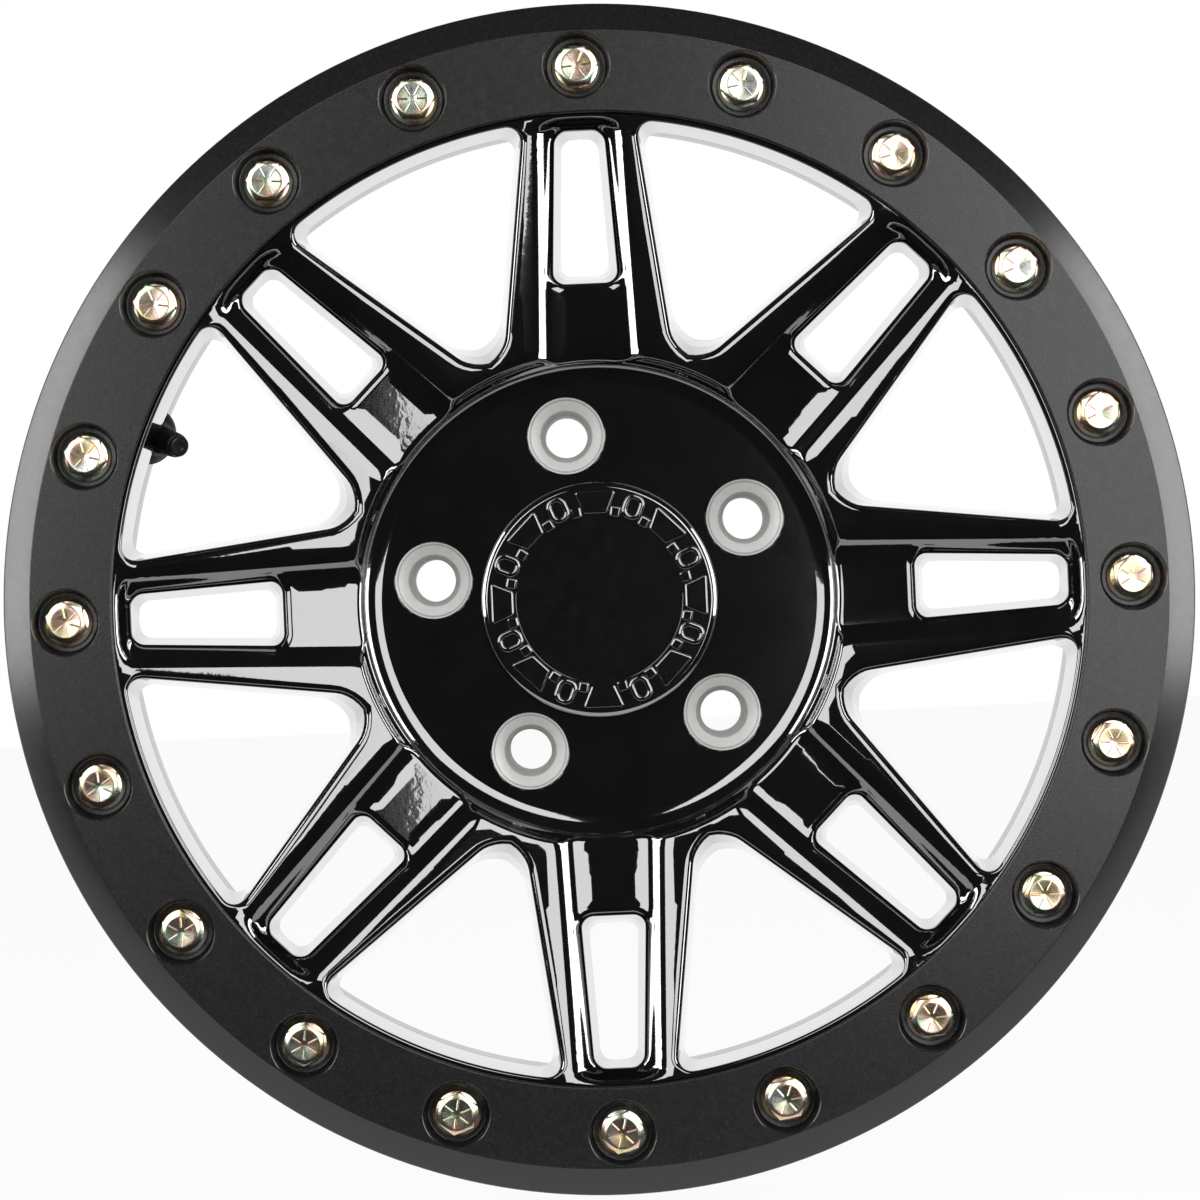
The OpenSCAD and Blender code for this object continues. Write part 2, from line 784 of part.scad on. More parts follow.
module valve_cap() {
    end_t = 1.6;
    skirt = 1.4;
    ceiling = stem_len + seal_t + 2 * snug;
    bore_r = stem_d / 2 + running;
    top = vcap_from + vcap_len;
    color([0.04, 0.04, 0.04])
        at_valve()
            difference() {
                union() {
                    translate([0, 0, vcap_from])
                        cylinder(d = vcap_d, h = skirt, $fn = 48);
                    translate([0, 0, vcap_from + skirt - eps])
                        linear_extrude(height = vcap_len - skirt - end_t + eps, scale = 0.9,
                            slices = 1, $fn = 6)
                            vcap_outline(vcap_d - 0.3);
                    translate([0, 0, top - end_t - 0.2])
                        cylinder(d1 = 0.9 * vcap_d - 1.4, d2 = 0.9 * vcap_d - 2.9, h = end_t + 0.2, $fn = 48);
                }
                translate([0, 0, vcap_from - 1])
                    cylinder(r = bore_r, h = ceiling - vcap_from + 1, $fn = 48);
            }
}

module valve_cap_seal() {
    color([0.1, 0.1, 0.1])
        at_valve()
            translate([0, 0, stem_len + snug])
                difference() {
                    cylinder(d = stem_d - 0.1, h = seal_t, $fn = 48);
                    translate([0, 0, -1])
                        cylinder(r = pin_r + 1, h = seal_t + 2, $fn = 32);
                }
}

// Turns the wheel upright, with outboard towards -Y
module upright() {
    rotate([90, 0, 0])
        children();
}

upright() wheel_casting();
upright() beadlock_ring();
upright() ring_bolts();
upright() centre_cap();
upright() cap_wire_ring();
upright() valve_rubber();
upright() valve_stem();
upright() core_housing();
upright() core_gasket();
upright() core_pin();
upright() core_cup();
upright() core_spring();
upright() valve_cap();
upright() valve_cap_seal();
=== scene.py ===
import math

import bmesh
import bpy
import numpy as np
from mathutils import Matrix, Vector
from mathutils.geometry import delaunay_2d_cdt
from mathutils.kdtree import KDTree


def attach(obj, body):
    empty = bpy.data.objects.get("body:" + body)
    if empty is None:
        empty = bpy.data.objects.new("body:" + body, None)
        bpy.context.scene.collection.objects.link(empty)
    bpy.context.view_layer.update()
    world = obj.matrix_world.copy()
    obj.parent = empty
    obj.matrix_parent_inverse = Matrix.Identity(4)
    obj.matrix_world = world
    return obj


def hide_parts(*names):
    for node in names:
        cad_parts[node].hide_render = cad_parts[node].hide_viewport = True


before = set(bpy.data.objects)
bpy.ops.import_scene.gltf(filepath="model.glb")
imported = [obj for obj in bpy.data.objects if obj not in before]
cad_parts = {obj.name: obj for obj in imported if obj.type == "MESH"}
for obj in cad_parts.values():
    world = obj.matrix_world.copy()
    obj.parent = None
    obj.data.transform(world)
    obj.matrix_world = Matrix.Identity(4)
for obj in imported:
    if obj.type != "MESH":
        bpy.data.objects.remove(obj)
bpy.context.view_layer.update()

# Mesh code works in millimetres with the wheel axis along +Z, outboard up and the hub face at zero
MM = 0.001
TURN = 2 * math.pi
UP = np.array([0.0, 0.0, 1.0])
WHEEL_TURN = Matrix.Rotation(math.radians(90), 4, "X")

# Numeric work: step of the slopes, height step of the first search, and points along outlines
PROBE = 0.01
LEVEL_STEP = 0.25
FINE_GAP = 0.4
TURN_PER_GAP = 0.16
GAP_LEAST, GAP_MOST = 0.7, 4.0
OUTLINE_GAP = 0.8

# Levels and radii shared by several pieces
FACE_Z = 56.0
LIP_Z = 54.0
SEAT_Z = 42.0
BARREL_R = 162.5
LIP_R = 164.1
RING_R = 202.0
RING_BORE_R = 164.4
BEVEL_W = 10.0
BEVEL_H = 7.5
BOLT_CIRCLE_R = 180.3
BOLT_N = 20
BOLT_TWIST = math.radians(37)
RECESS_R = 11.6
RECESS_FLOOR_R = 10.2
RECESS_Z = 48.0

# Spokes
SPOKE_N = 8
PITCH = TURN / SPOKE_N
SPOKE_TILT = math.tan(math.radians(7.4))
DISC_R = 74.6
DISC_Z = 32.0
STEP_FILLET = 8.0
STEP_ANGLE = math.radians(75)
WEB_R = DISC_R + STEP_FILLET * math.sin(STEP_ANGLE)
WEB_Z = DISC_Z + STEP_FILLET * (1 - math.cos(STEP_ANGLE))
POCKET_DEPTH = 5.7
LEDGE_R = WEB_R + POCKET_DEPTH / math.tan(STEP_ANGLE)
LEDGE_Z = WEB_Z + POCKET_DEPTH
HALF_W_HUB = 27.8
HALF_W_RIM = 18.75
EDGE_SLOPE = (HALF_W_HUB - HALF_W_RIM) / (BARREL_R - LEDGE_R)
DRAFT_Z = 55.0
SIDE_DRAFT = 0.085
TIP_R = 85.0
TIP_DRAFT = 0.26
WINDOW_CORNER = 6.5
EDGE_ROUND = 2.9
LIP_ROUND = 1.0
STEP_ROUND = 1.2
BACK_ROUND = 1.5
BACK_Z_HUB = 8.0
BACK_Z_RIM = 20.0
PAD_R = 74.0
BACK_R = PAD_R + 2
FLOOR_HALF_HUB = 12.4
FLOOR_HALF_RIM = 9.8
POCKET_END_X = 160.3
POCKET_WALL = 6.6 / POCKET_DEPTH
POCKET_END_WALL = 3.0 / POCKET_DEPTH
POCKET_CORNER = 5.0
POCKET_ROUND = 2.0
POCKET_RUNS = (-0.95, -0.5, -0.1, 0.3, 0.65, 2.0, 3.6, 5.1, 5.9, 6.2, 6.5, 6.8, 7.1, 7.45)
LEDGE_RUNS = (-0.15, 0.2, 0.5, 0.8, 1.05, 1.3, 1.5, 1.75, 2.05, 2.35)
FACE_GAP = 4.0
BACK_GAP = 9.0
CREST_ROUND = 1.8
SLOT_HUB_X = 107.5
SLOT_RIM_X = 159.0
SLOT_HALF_HUB = 11.2
SLOT_HALF_RIM = 8.55
SLOT_END_DRAFT = 0.165
SLOT_CORNER = 4.2
SLOT_ROUND = 2.8


def unit(v):
    return v / np.linalg.norm(v, axis=-1, keepdims=True)


def raise_to(plan, z):
    """Plan points in rows with a third number beside each."""
    return np.column_stack([plan, np.full(len(plan), z)])


def linked(name, data):
    """A new object in the scene."""
    obj = bpy.data.objects.new(name, data)
    bpy.context.scene.collection.objects.link(obj)
    return obj


def smooth(a, b, x):
    t = np.clip((x - a) / (b - a), 0, 1)
    return t * t * (3 - 2 * t)


def round_in(a, b, r):
    """Where both distances are inside, with the edge between them rounded to radius r."""
    return np.minimum(np.maximum(a, b), -r) + np.hypot(np.maximum(a + r, 0), np.maximum(b + r, 0))


def round_out(a, b, r):
    """Where either distance is inside, with the corner between them filleted to radius r."""
    return np.maximum(np.minimum(a, b), r) - np.hypot(np.maximum(r - a, 0), np.maximum(r - b, 0))


def fold(x, y):
    """Radius, and the point turned and mirrored into the half spoke above +X."""
    rho = np.hypot(x, y)
    angle = np.abs((np.arctan2(y, x) + PITCH / 2) % PITCH - PITCH / 2)
    return rho, rho * np.cos(angle), rho * np.sin(angle)


def ledge_z(rho):
    return np.minimum(LEDGE_Z + (rho - LEDGE_R) * SPOKE_TILT, LIP_Z)


def floor_z(x):
    return WEB_Z + (x - WEB_R) * SPOKE_TILT


def back_z(rho):
    return BACK_Z_HUB + (rho - BACK_R) * (BACK_Z_RIM - BACK_Z_HUB) / (LIP_R - BACK_R)


def window_field(x, y, z):
    """Distance in plan from the windows: below zero in the spokes, the hub and the lip."""
    rho, x, y = fold(x, y)
    half = HALF_W_HUB - (x - LEDGE_R) * EDGE_SLOPE
    side = (y - half) / math.hypot(1, EDGE_SLOPE) - (DRAFT_Z - z) * SIDE_DRAFT
    across = x * math.cos(PITCH / 2) + y * math.sin(PITCH / 2)
    tip = across - TIP_R - (DRAFT_Z - z) * TIP_DRAFT
    return round_out(round_out(side, tip, WINDOW_CORNER), BARREL_R - rho, WINDOW_CORNER)


def slot_field(x, y, z):
    """Distance in plan from the slots: below zero in a slot."""
    _, x, y = fold(x, y)
    deep = floor_z(x) - z
    slope = (SLOT_HALF_HUB - SLOT_HALF_RIM) / (SLOT_RIM_X - SLOT_HUB_X)
    half = SLOT_HALF_HUB - (x - SLOT_HUB_X) * slope
    side = (y - half) / math.hypot(1, slope) + deep * SIDE_DRAFT
    ends = np.maximum(SLOT_HUB_X + deep * SLOT_END_DRAFT - x, x - SLOT_RIM_X)
    return round_in(side, ends, SLOT_CORNER)


def pocket_plan(x, y):
    """Plan run outward from the outline of the pocket floor, as the side walls run."""
    _, x, y = fold(x, y)
    slope = (FLOOR_HALF_HUB - FLOOR_HALF_RIM) / (POCKET_END_X - WEB_R)
    side = y - FLOOR_HALF_HUB + (x - WEB_R) * slope
    end = (x - POCKET_END_X) * POCKET_WALL / POCKET_END_WALL
    return round_in(side, end, POCKET_CORNER)


def face_field(x, y, z):
    """Distance from the casting's face: below zero in the metal."""
    rho, fx, _ = fold(x, y)
    top = (z - ledge_z(rho)) / math.hypot(1, SPOKE_TILT)
    metal = round_in(window_field(x, y, z), top, edge_round(x, y))
    above = (z - floor_z(fx)) / math.hypot(1, SPOKE_TILT)
    wall = (pocket_plan(x, y) - (z - floor_z(fx)) * POCKET_WALL) / math.hypot(1, POCKET_WALL)
    metal = round_in(metal, -round_in(wall, -above, POCKET_ROUND), CREST_ROUND)
    step = (rho - WEB_R) * math.sin(STEP_ANGLE) - (z - WEB_Z) * math.cos(STEP_ANGLE)
    metal = round_in(metal, -round_in(step, DISC_Z - z, STEP_FILLET), STEP_ROUND)
    metal = round_in(metal, -slot_field(x, y, z), SLOT_ROUND)
    return round_in(metal, back_z(rho) - z, BACK_ROUND)


def slopes(field, p):
    """Gradient of a field at points in rows."""
    return np.stack([(field(*(p + s).T) - field(*(p - s).T)) / (2 * PROBE)
                     for s in np.eye(p.shape[1]) * PROBE], 1)


def gradient(field, p):
    """Unit gradient of a field at points in rows."""
    out = slopes(field, p)
    return out / np.maximum(np.linalg.norm(out, axis=1), 1e-9)[:, None]


def settle(field, p):
    """Moves points along the field's gradient until the field is zero."""
    p = np.array(p, float)
    for _ in range(12):
        slope = slopes(field, p)
        p -= slope * (field(*p.T) / np.maximum((slope ** 2).sum(1), 1e-6))[:, None]
    return p


def drop(x, y):
    """Height of the face above plan points, found from the front."""
    levels = np.arange(FACE_Z, BACK_Z_HUB, -LEVEL_STEP)
    high = np.full(x.shape, np.nan)
    for z in levels:
        found = np.isnan(high) & (face_field(x, y, np.full_like(x, z)) < 0)
        high[found] = z + LEVEL_STEP
    high = np.where(np.isnan(high), levels[-1], high)
    low = high - LEVEL_STEP
    for _ in range(24):
        middle = (high + low) / 2
        inside = face_field(x, y, middle) < 0
        low = np.where(inside, middle, low)
        high = np.where(inside, high, middle)
    return (high + low) / 2


def resample(points, spacing):
    """Points along a polyline, at about the spacing given for each of its points."""
    steps = np.linalg.norm(np.diff(points, axis=0), axis=1)
    share = np.concatenate([[0], np.cumsum(steps / ((spacing[:-1] + spacing[1:]) / 2))])
    n = max(2, int(round(share[-1])))
    want = np.linspace(0, share[-1], n + 1)
    return np.stack([np.interp(want, share, points[:, i]) for i in range(points.shape[1])], 1)


def polar(r, angle):
    return np.stack([r * np.cos(angle), r * np.sin(angle)], -1)


# The middle of a spoke, and the line midway between two spokes
AXIS = np.array([1.0, 0.0])
SEAM = np.array([math.cos(PITCH / 2), math.sin(PITCH / 2)])


def put_on(loop, line):
    """Puts both ends of a half outline on a symmetry line."""
    for end in (0, -1):
        loop[end] = line * (loop[end] @ line)
    return loop


def half_outline(corners, field):
    """Half of a symmetric outline: a line through its sharp corners, settled where the field is zero."""
    corners = np.array(corners, float)
    fine = settle(field, resample(corners, np.full(len(corners), FINE_GAP)))
    turn = np.zeros(len(fine))
    steps = np.diff(fine, axis=0)
    bend = np.abs(np.diff(np.unwrap(np.arctan2(steps[:, 1], steps[:, 0]))))
    turn[1:-1] = bend / np.maximum(np.linalg.norm(steps[:-1], axis=1), 0.05)
    turn = np.convolve(np.pad(turn, 3, mode="edge"), np.ones(7) / 7, "valid")
    gap = np.clip(TURN_PER_GAP / np.maximum(turn, 1e-3), GAP_LEAST, GAP_MOST)
    return settle(field, resample(fine, gap))


class Skin:
    """Points with normals, and faces with a material index, gathered before they become one mesh."""

    def __init__(self):
        self.points = np.zeros((0, 3))
        self.normals = np.zeros((0, 3))
        self.faces = []
        self.slots = []

    def add(self, points, normals):
        start = len(self.points)
        self.points = np.vstack([self.points, points])
        self.normals = np.vstack([self.normals, normals])
        return np.arange(start, len(self.points))

    def face(self, ids, slot=0):
        self.faces.append(list(map(int, ids)))
        self.slots.append(slot)

    def strip(self, a, b, slot=0):
        for i in range(len(a) - 1):
            self.face((a[i], a[i + 1], b[i + 1], b[i]), slot)

    def rows(self, rows, normals):
        """Strips between rows of points that run side by side."""
        ids = [self.add(p, n) for p, n in zip(rows, normals)]
        for a, b in zip(ids, ids[1:]):
            self.strip(a, b)

    def spin(self, profile, angles, centre=(0, 0), slot=0, sharp=25):
        """Strips of a profile of radius and height about a centre, at angles or in so many equal steps."""
        if isinstance(angles, int):
            angles = np.linspace(0, TURN, angles + 1)
        profile = np.array(profile, float)
        steps = unit(np.diff(profile, axis=0))
        out = np.stack([steps[:, 1], -steps[:, 0]], 1)
        ring = polar(np.ones(len(angles)), angles)
        limit = math.cos(math.radians(sharp))
        for i in range(len(steps)):
            pair = []
            for end, other in ((i, i - 1), (i + 1, i + 1)):
                n = out[i]
                if 0 <= other < len(steps) and n @ out[other] > limit:
                    n = n + out[other]
                n = unit(n)
                r, z = profile[end]
                pair.append(self.add(raise_to(centre + ring * r, z), raise_to(ring * n[0], n[1])))
            self.strip(pair[0], pair[1], slot)

    def flat(self, rings, z, up, keep, fill=0.0):
        """A level region between closed outlines, made of triangles, with points fill apart inside it."""
        points, edges = [], []
        for ring in rings:
            start = len(points)
            points += [Vector(p) for p in ring]
            edges += [(start + i, start + (i + 1) % len(ring)) for i in range(len(ring))]
        if fill:
            known = np.vstack(rings)
            reach = np.abs(known).max()
            steps = np.arange(-reach, reach, fill)
            grid = np.array([(x, y) for x in steps for y in steps if keep(x, y)])
            near = np.min(np.linalg.norm(grid[:, None] - known[None], axis=2), axis=1)
            points += [Vector(p) for p in grid[near > fill * 0.5]]
        made = delaunay_2d_cdt(points, edges, [], 0, 1e-6)
        flat = np.array([tuple(p) for p in made[0]])
        ids = self.add(raise_to(flat, z), np.tile(UP * up, (len(flat), 1)))
        for face in made[2]:
            if keep(*flat[list(face)].mean(0)):
                self.face(ids[list(face)])

    def join(self, other, angle=0.0, shift=(0, 0, 0), flip=1):
        """Adds another skin, mirrored by a flip of -1, turned about its axis and moved."""
        c, s = math.cos(angle), math.sin(angle)
        turn = np.array([[c, -s * flip, 0], [s, c * flip, 0], [0, 0, 1]])
        start = len(self.points)
        self.add(other.points @ turn.T + shift, other.normals @ turn.T)
        self.faces += [[start + i for i in face] for face in other.faces]
        self.slots += other.slots

    @staticmethod
    def crease(data, faces, normals):
        """Marks as sharp each edge whose two faces have different normals at an end of it."""
        met, sharp = {}, set()
        corner = 0
        for face in faces:
            n = len(face)
            for k in range(n):
                ends = sorted(((face[k], corner + k), (face[(k + 1) % n], corner + (k + 1) % n)))
                key = (ends[0][0], ends[1][0])
                mine = normals[ends[0][1]], normals[ends[1][1]]
                if key in met and min(mine[0] @ met[key][0], mine[1] @ met[key][1]) < 0.9995:
                    sharp.add(key)
                met[key] = mine
            corner += n
        ends = np.zeros(len(data.edges) * 2, int)
        data.edges.foreach_get("vertices", ends)
        ends = np.sort(ends.reshape(-1, 2), axis=1)
        marks = data.attributes.new("sharp_edge", "BOOLEAN", "EDGE")
        marks.data.foreach_set("value", [tuple(e) in sharp for e in ends.tolist()])

    def mesh(self, name, materials, place=Matrix.Identity(4)):
        """Welds the points, turns every face to its normals, and makes the object."""
        tree = KDTree(len(self.points))
        for i, p in enumerate(self.points):
            tree.insert(p, i)
        tree.balance()
        to = np.full(len(self.points), -1)
        kept = []
        for i, p in enumerate(self.points):
            if to[i] < 0:
                for _, j, _ in tree.find_range(p, 2e-3):
                    if to[j] < 0:
                        to[j] = len(kept)
                kept.append(i)
        faces, corner_normals, slots = [], [], []
        for face, slot in zip(self.faces, self.slots):
            ids = [i for k, i in enumerate(face) if to[i] != to[face[k - 1]]]
            if len(ids) < 3 or len({to[i] for i in ids}) < len(ids):
                continue
            p = self.points[ids]
            area = sum((np.cross(p[i] - p[0], p[i + 1] - p[0]) for i in range(1, len(ids) - 1)))
            if np.linalg.norm(area) < 1e-7:
                continue
            if area @ self.normals[ids].sum(0) < 0:
                ids.reverse()
            faces.append([to[i] for i in ids])
            corner_normals += [self.normals[i] for i in ids]
            slots.append(slot)
        matrix = WHEEL_TURN @ Matrix.Scale(MM, 4) @ place
        turn = np.array(matrix.to_3x3())
        points = self.points[kept] @ turn.T + np.array(matrix.translation)
        data = bpy.data.meshes.new(name)
        data.from_pydata(points.tolist(), [], faces)
        for m in materials:
            data.materials.append(m)
        data.polygons.foreach_set("material_index", slots)
        data.polygons.foreach_set("use_smooth", [True] * len(faces))
        turned = unit(np.array(corner_normals) @ turn.T)
        self.crease(data, faces, turned)
        data.normals_split_custom_set(turned.tolist())
        return linked(name, data)


def window_corners():
    """Sharp corners of half a window, from its tip round to its outer middle."""
    seam = PITCH / 2
    tip = TIP_R + (DRAFT_Z - LEDGE_Z) * TIP_DRAFT
    half = HALF_W_HUB + LEDGE_R * EDGE_SLOPE
    x = (tip - half * math.sin(seam)) / (math.cos(seam) - EDGE_SLOPE * math.sin(seam))
    foot = np.array([x, half - x * EDGE_SLOPE])
    far = BARREL_R * math.cos(math.asin(HALF_W_RIM / BARREL_R))
    start = math.asin((half - far * EDGE_SLOPE) / BARREL_R)
    arc = polar(BARREL_R, np.linspace(start, seam, 12))
    return np.vstack([polar(tip, seam), foot, arc])


def edge_round(x, y):
    return EDGE_ROUND - (EDGE_ROUND - LIP_ROUND) * smooth(157, 162, np.hypot(x, y))


def window_loop(share):
    """Loop of a window's edge: share is 0 on the wall and 1 where the rounding meets the face."""
    angle = share * math.pi / 2

    def field(x, y):
        r = edge_round(x, y)
        z = ledge_z(np.hypot(x, y)) - r * (1 - math.sin(angle))
        return window_field(x, y, z) + r * (1 - math.cos(angle))

    return put_on(half_outline(window_corners(), field), SEAM)


def slot_loop(share):
    """Loop of a slot's edge, as for a window."""
    angle = share * math.pi / 2

    def field(x, y):
        z = floor_z(x) - SLOT_ROUND * (1 - math.sin(angle))
        return slot_field(x, y, z) - SLOT_ROUND * (1 - math.cos(angle))

    corners = [(SLOT_HUB_X, 0), (SLOT_HUB_X, SLOT_HALF_HUB),
               (SLOT_RIM_X, SLOT_HALF_RIM), (SLOT_RIM_X, 0)]
    return put_on(half_outline(corners, field), AXIS)


def pocket_loop(run):
    """Loop along the pocket wall, run millimetres out from its floor's outline."""
    corners = [(WEB_R - 1, FLOOR_HALF_HUB + run), (POCKET_END_X, FLOOR_HALF_RIM + run),
               (POCKET_END_X + run * POCKET_END_WALL / POCKET_WALL, 0)]
    loop = half_outline(corners, lambda x, y: pocket_plan(x, y) - run)
    loop = loop[np.hypot(*loop.T) > WEB_R - 0.3]
    loop[-1, 1] = 0
    return loop


def arc_points(r, n):
    return polar(np.full(n + 1, r), np.linspace(0, PITCH / 2, n + 1))


def half_region(low, window, slot, loops, spacing, keep):
    """Triangles of half a sector from radius low out to the lip, round a window and a slot."""
    points, edges = [], []
    for loop in loops:
        start = len(points)
        points += [tuple(p) for p in loop]
        edges += [(start + i, start + i + 1) for i in range(len(loop) - 1)]
    known = np.array(points)
    for line, loop in ((AXIS, slot), (SEAM, window)):
        along = known @ line
        on_line = np.where(np.abs(known @ (-line[1], line[0])) < 1e-6)[0]
        for start, stop in ((low, loop[0] @ line), (loop[-1] @ line, LIP_R)):
            inside = [i for i in on_line if start - 1e-4 <= along[i] <= stop + 1e-4]
            inside.sort(key=lambda i: along[i])
            edges += list(zip(inside, inside[1:]))
    across = np.arange(spacing / 2, LIP_R * math.sin(PITCH / 2) + 3, spacing)
    grid = np.array([(x, y) for x in np.arange(DISC_R, LIP_R, spacing) for y in across])
    near = np.min(np.linalg.norm(grid[:, None] - known[None], axis=2), axis=1)
    angle = np.arctan2(grid[:, 1], grid[:, 0])
    good = (near > spacing * 0.45) & (angle < PITCH / 2 - 0.01) & keep(*grid.T)
    points += [tuple(p) for p in grid[good]]
    made = delaunay_2d_cdt([Vector(p) for p in points], edges, [], 0, 1e-6)
    flat = np.array([tuple(p) for p in made[0]])
    faces = [list(f) for f in made[2]]
    centres = np.array([flat[f].mean(0) for f in faces])
    inside = keep(*centres.T) & (centres[:, 1] > 0)
    inside &= np.arctan2(centres[:, 1], centres[:, 0]) < PITCH / 2
    return flat, [f for f, good in zip(faces, inside) if good], made[3]


def casting_face():
    """Spokes, hub step and lip as one closed skin, built from half a spoke."""
    half = Skin()
    shares = [i / 6 for i in range(7)]
    windows = [window_loop(s) for s in shares]
    slots = [slot_loop(s) for s in shares]
    pockets = [pocket_loop(run) for run in POCKET_RUNS]
    step_angles = np.linspace(0, STEP_ANGLE, 11)
    circles = [DISC_R + STEP_FILLET * math.sin(a) for a in step_angles]
    circles += [WEB_R + run for run in LEDGE_RUNS]
    rings = [arc_points(r, 12) for r in circles] + [arc_points(LIP_R, 24)]

    def in_face(x, y):
        rho = np.hypot(x, y)
        wall = window_field(x, y, ledge_z(rho) - edge_round(x, y)) < 0
        slot = slot_field(x, y, floor_z(x) - SLOT_ROUND) > 0
        return wall & slot & (rho > DISC_R - 0.05) & (rho < LIP_R)

    flat, faces, origins = half_region(DISC_R, windows[0], slots[0], windows + slots + pockets + rings,
                                       FACE_GAP, in_face)
    z = drop(*flat.T)
    first_slot = sum(len(loop) for loop in windows)
    for i, source in enumerate(origins):
        for s in source:
            if s < len(windows[0]):
                z[i] = ledge_z(np.hypot(*flat[i])) - edge_round(*flat[i])
            elif first_slot <= s < first_slot + len(slots[0]):
                z[i] = floor_z(flat[i, 0]) - SLOT_ROUND
    points = np.column_stack([flat, z])
    ids = half.add(points, gradient(face_field, points))
    for face in faces:
        half.face(ids[face])

    # Walls of the windows and slots, and the roundings on the back
    back_loops = []
    window, slot = windows[0], slots[0]
    for top, field, side, line, top_z in (
            (window, window_field, -1, SEAM, ledge_z(np.hypot(*window.T)) - edge_round(*window.T)),
            (slot, slot_field, 1, AXIS, floor_z(slot[:, 0]) - SLOT_ROUND)):
        rho = np.hypot(*top.T)
        low_z = back_z(rho) + BACK_ROUND
        rows = []
        for part in (0, 0.5, 1):
            level = top_z + (low_z - top_z) * part
            row = top if part == 0 else settle(lambda x, y: field(x, y, level), top)
            rows.append(np.column_stack([put_on(row, line), level]))
        for angle in (TURN / 12, TURN / 6, TURN / 4):
            level = back_z(rho) + BACK_ROUND * (1 - math.sin(angle))
            offset = side * BACK_ROUND * (1 - math.cos(angle))
            row = settle(lambda x, y: field(x, y, level) - offset, rows[2][:, :2])
            rows.append(np.column_stack([put_on(row, line), level]))
        half.rows(rows, [gradient(face_field, row) for row in rows])
        back_loops.append(rows[-1][:, :2])

    def in_back(x, y):
        rho = np.hypot(x, y)
        low = back_z(rho)
        wall = window_field(x, y, low) < -BACK_ROUND
        slot = slot_field(x, y, low) > BACK_ROUND
        return wall & slot & (rho > BACK_R) & (rho < LIP_R)

    loops = back_loops + [arc_points(BACK_R, 12), arc_points(LIP_R, 24)]
    flat, faces, _ = half_region(BACK_R, *back_loops, loops, BACK_GAP, in_back)
    rho = np.hypot(*flat.T)
    slope = (BACK_Z_RIM - BACK_Z_HUB) / (LIP_R - BACK_R)
    normals = np.column_stack([flat * (slope / rho)[:, None], -np.ones(len(flat))])
    ids = half.add(np.column_stack([flat, back_z(rho)]), unit(normals))
    for face in faces:
        half.face(ids[face])
    half.spin([(LIP_R, BACK_Z_RIM), (LIP_R, LIP_Z)], np.linspace(0, PITCH / 2, 25))
    half.spin([(PAD_R - 1, 0), (PAD_R, 1), (BACK_R, BACK_Z_HUB)], np.linspace(0, PITCH / 2, 13))
    whole = Skin()
    for i in range(SPOKE_N):
        for flip in (1, -1):
            whole.join(half, i * PITCH, flip=flip)
    return whole


# Hub
LUG_CIRCLE_R = 57.15
LUG_N = 5
LUG_FIRST = math.radians(99)
LUG_SEAT_R = 13.1
LUG_THROAT_R = 8.8
LUG_HOLE_R = 7.3
PILOT_R = 39.05
CAP_BORE_R = 36.6
RELIEF_R = (53.65, 68.65)
RELIEF_HALF = math.radians(15)
RELIEF_Z = 4.0


def circle(r, n, centre=(0, 0)):
    return np.array(centre) + polar(np.full(n, r), np.arange(n) * TURN / n)


def apart(x, y, centres, r):
    """Whether a plan point is farther than r from every centre."""
    return all(math.hypot(x - c[0], y - c[1]) > r for c in centres)


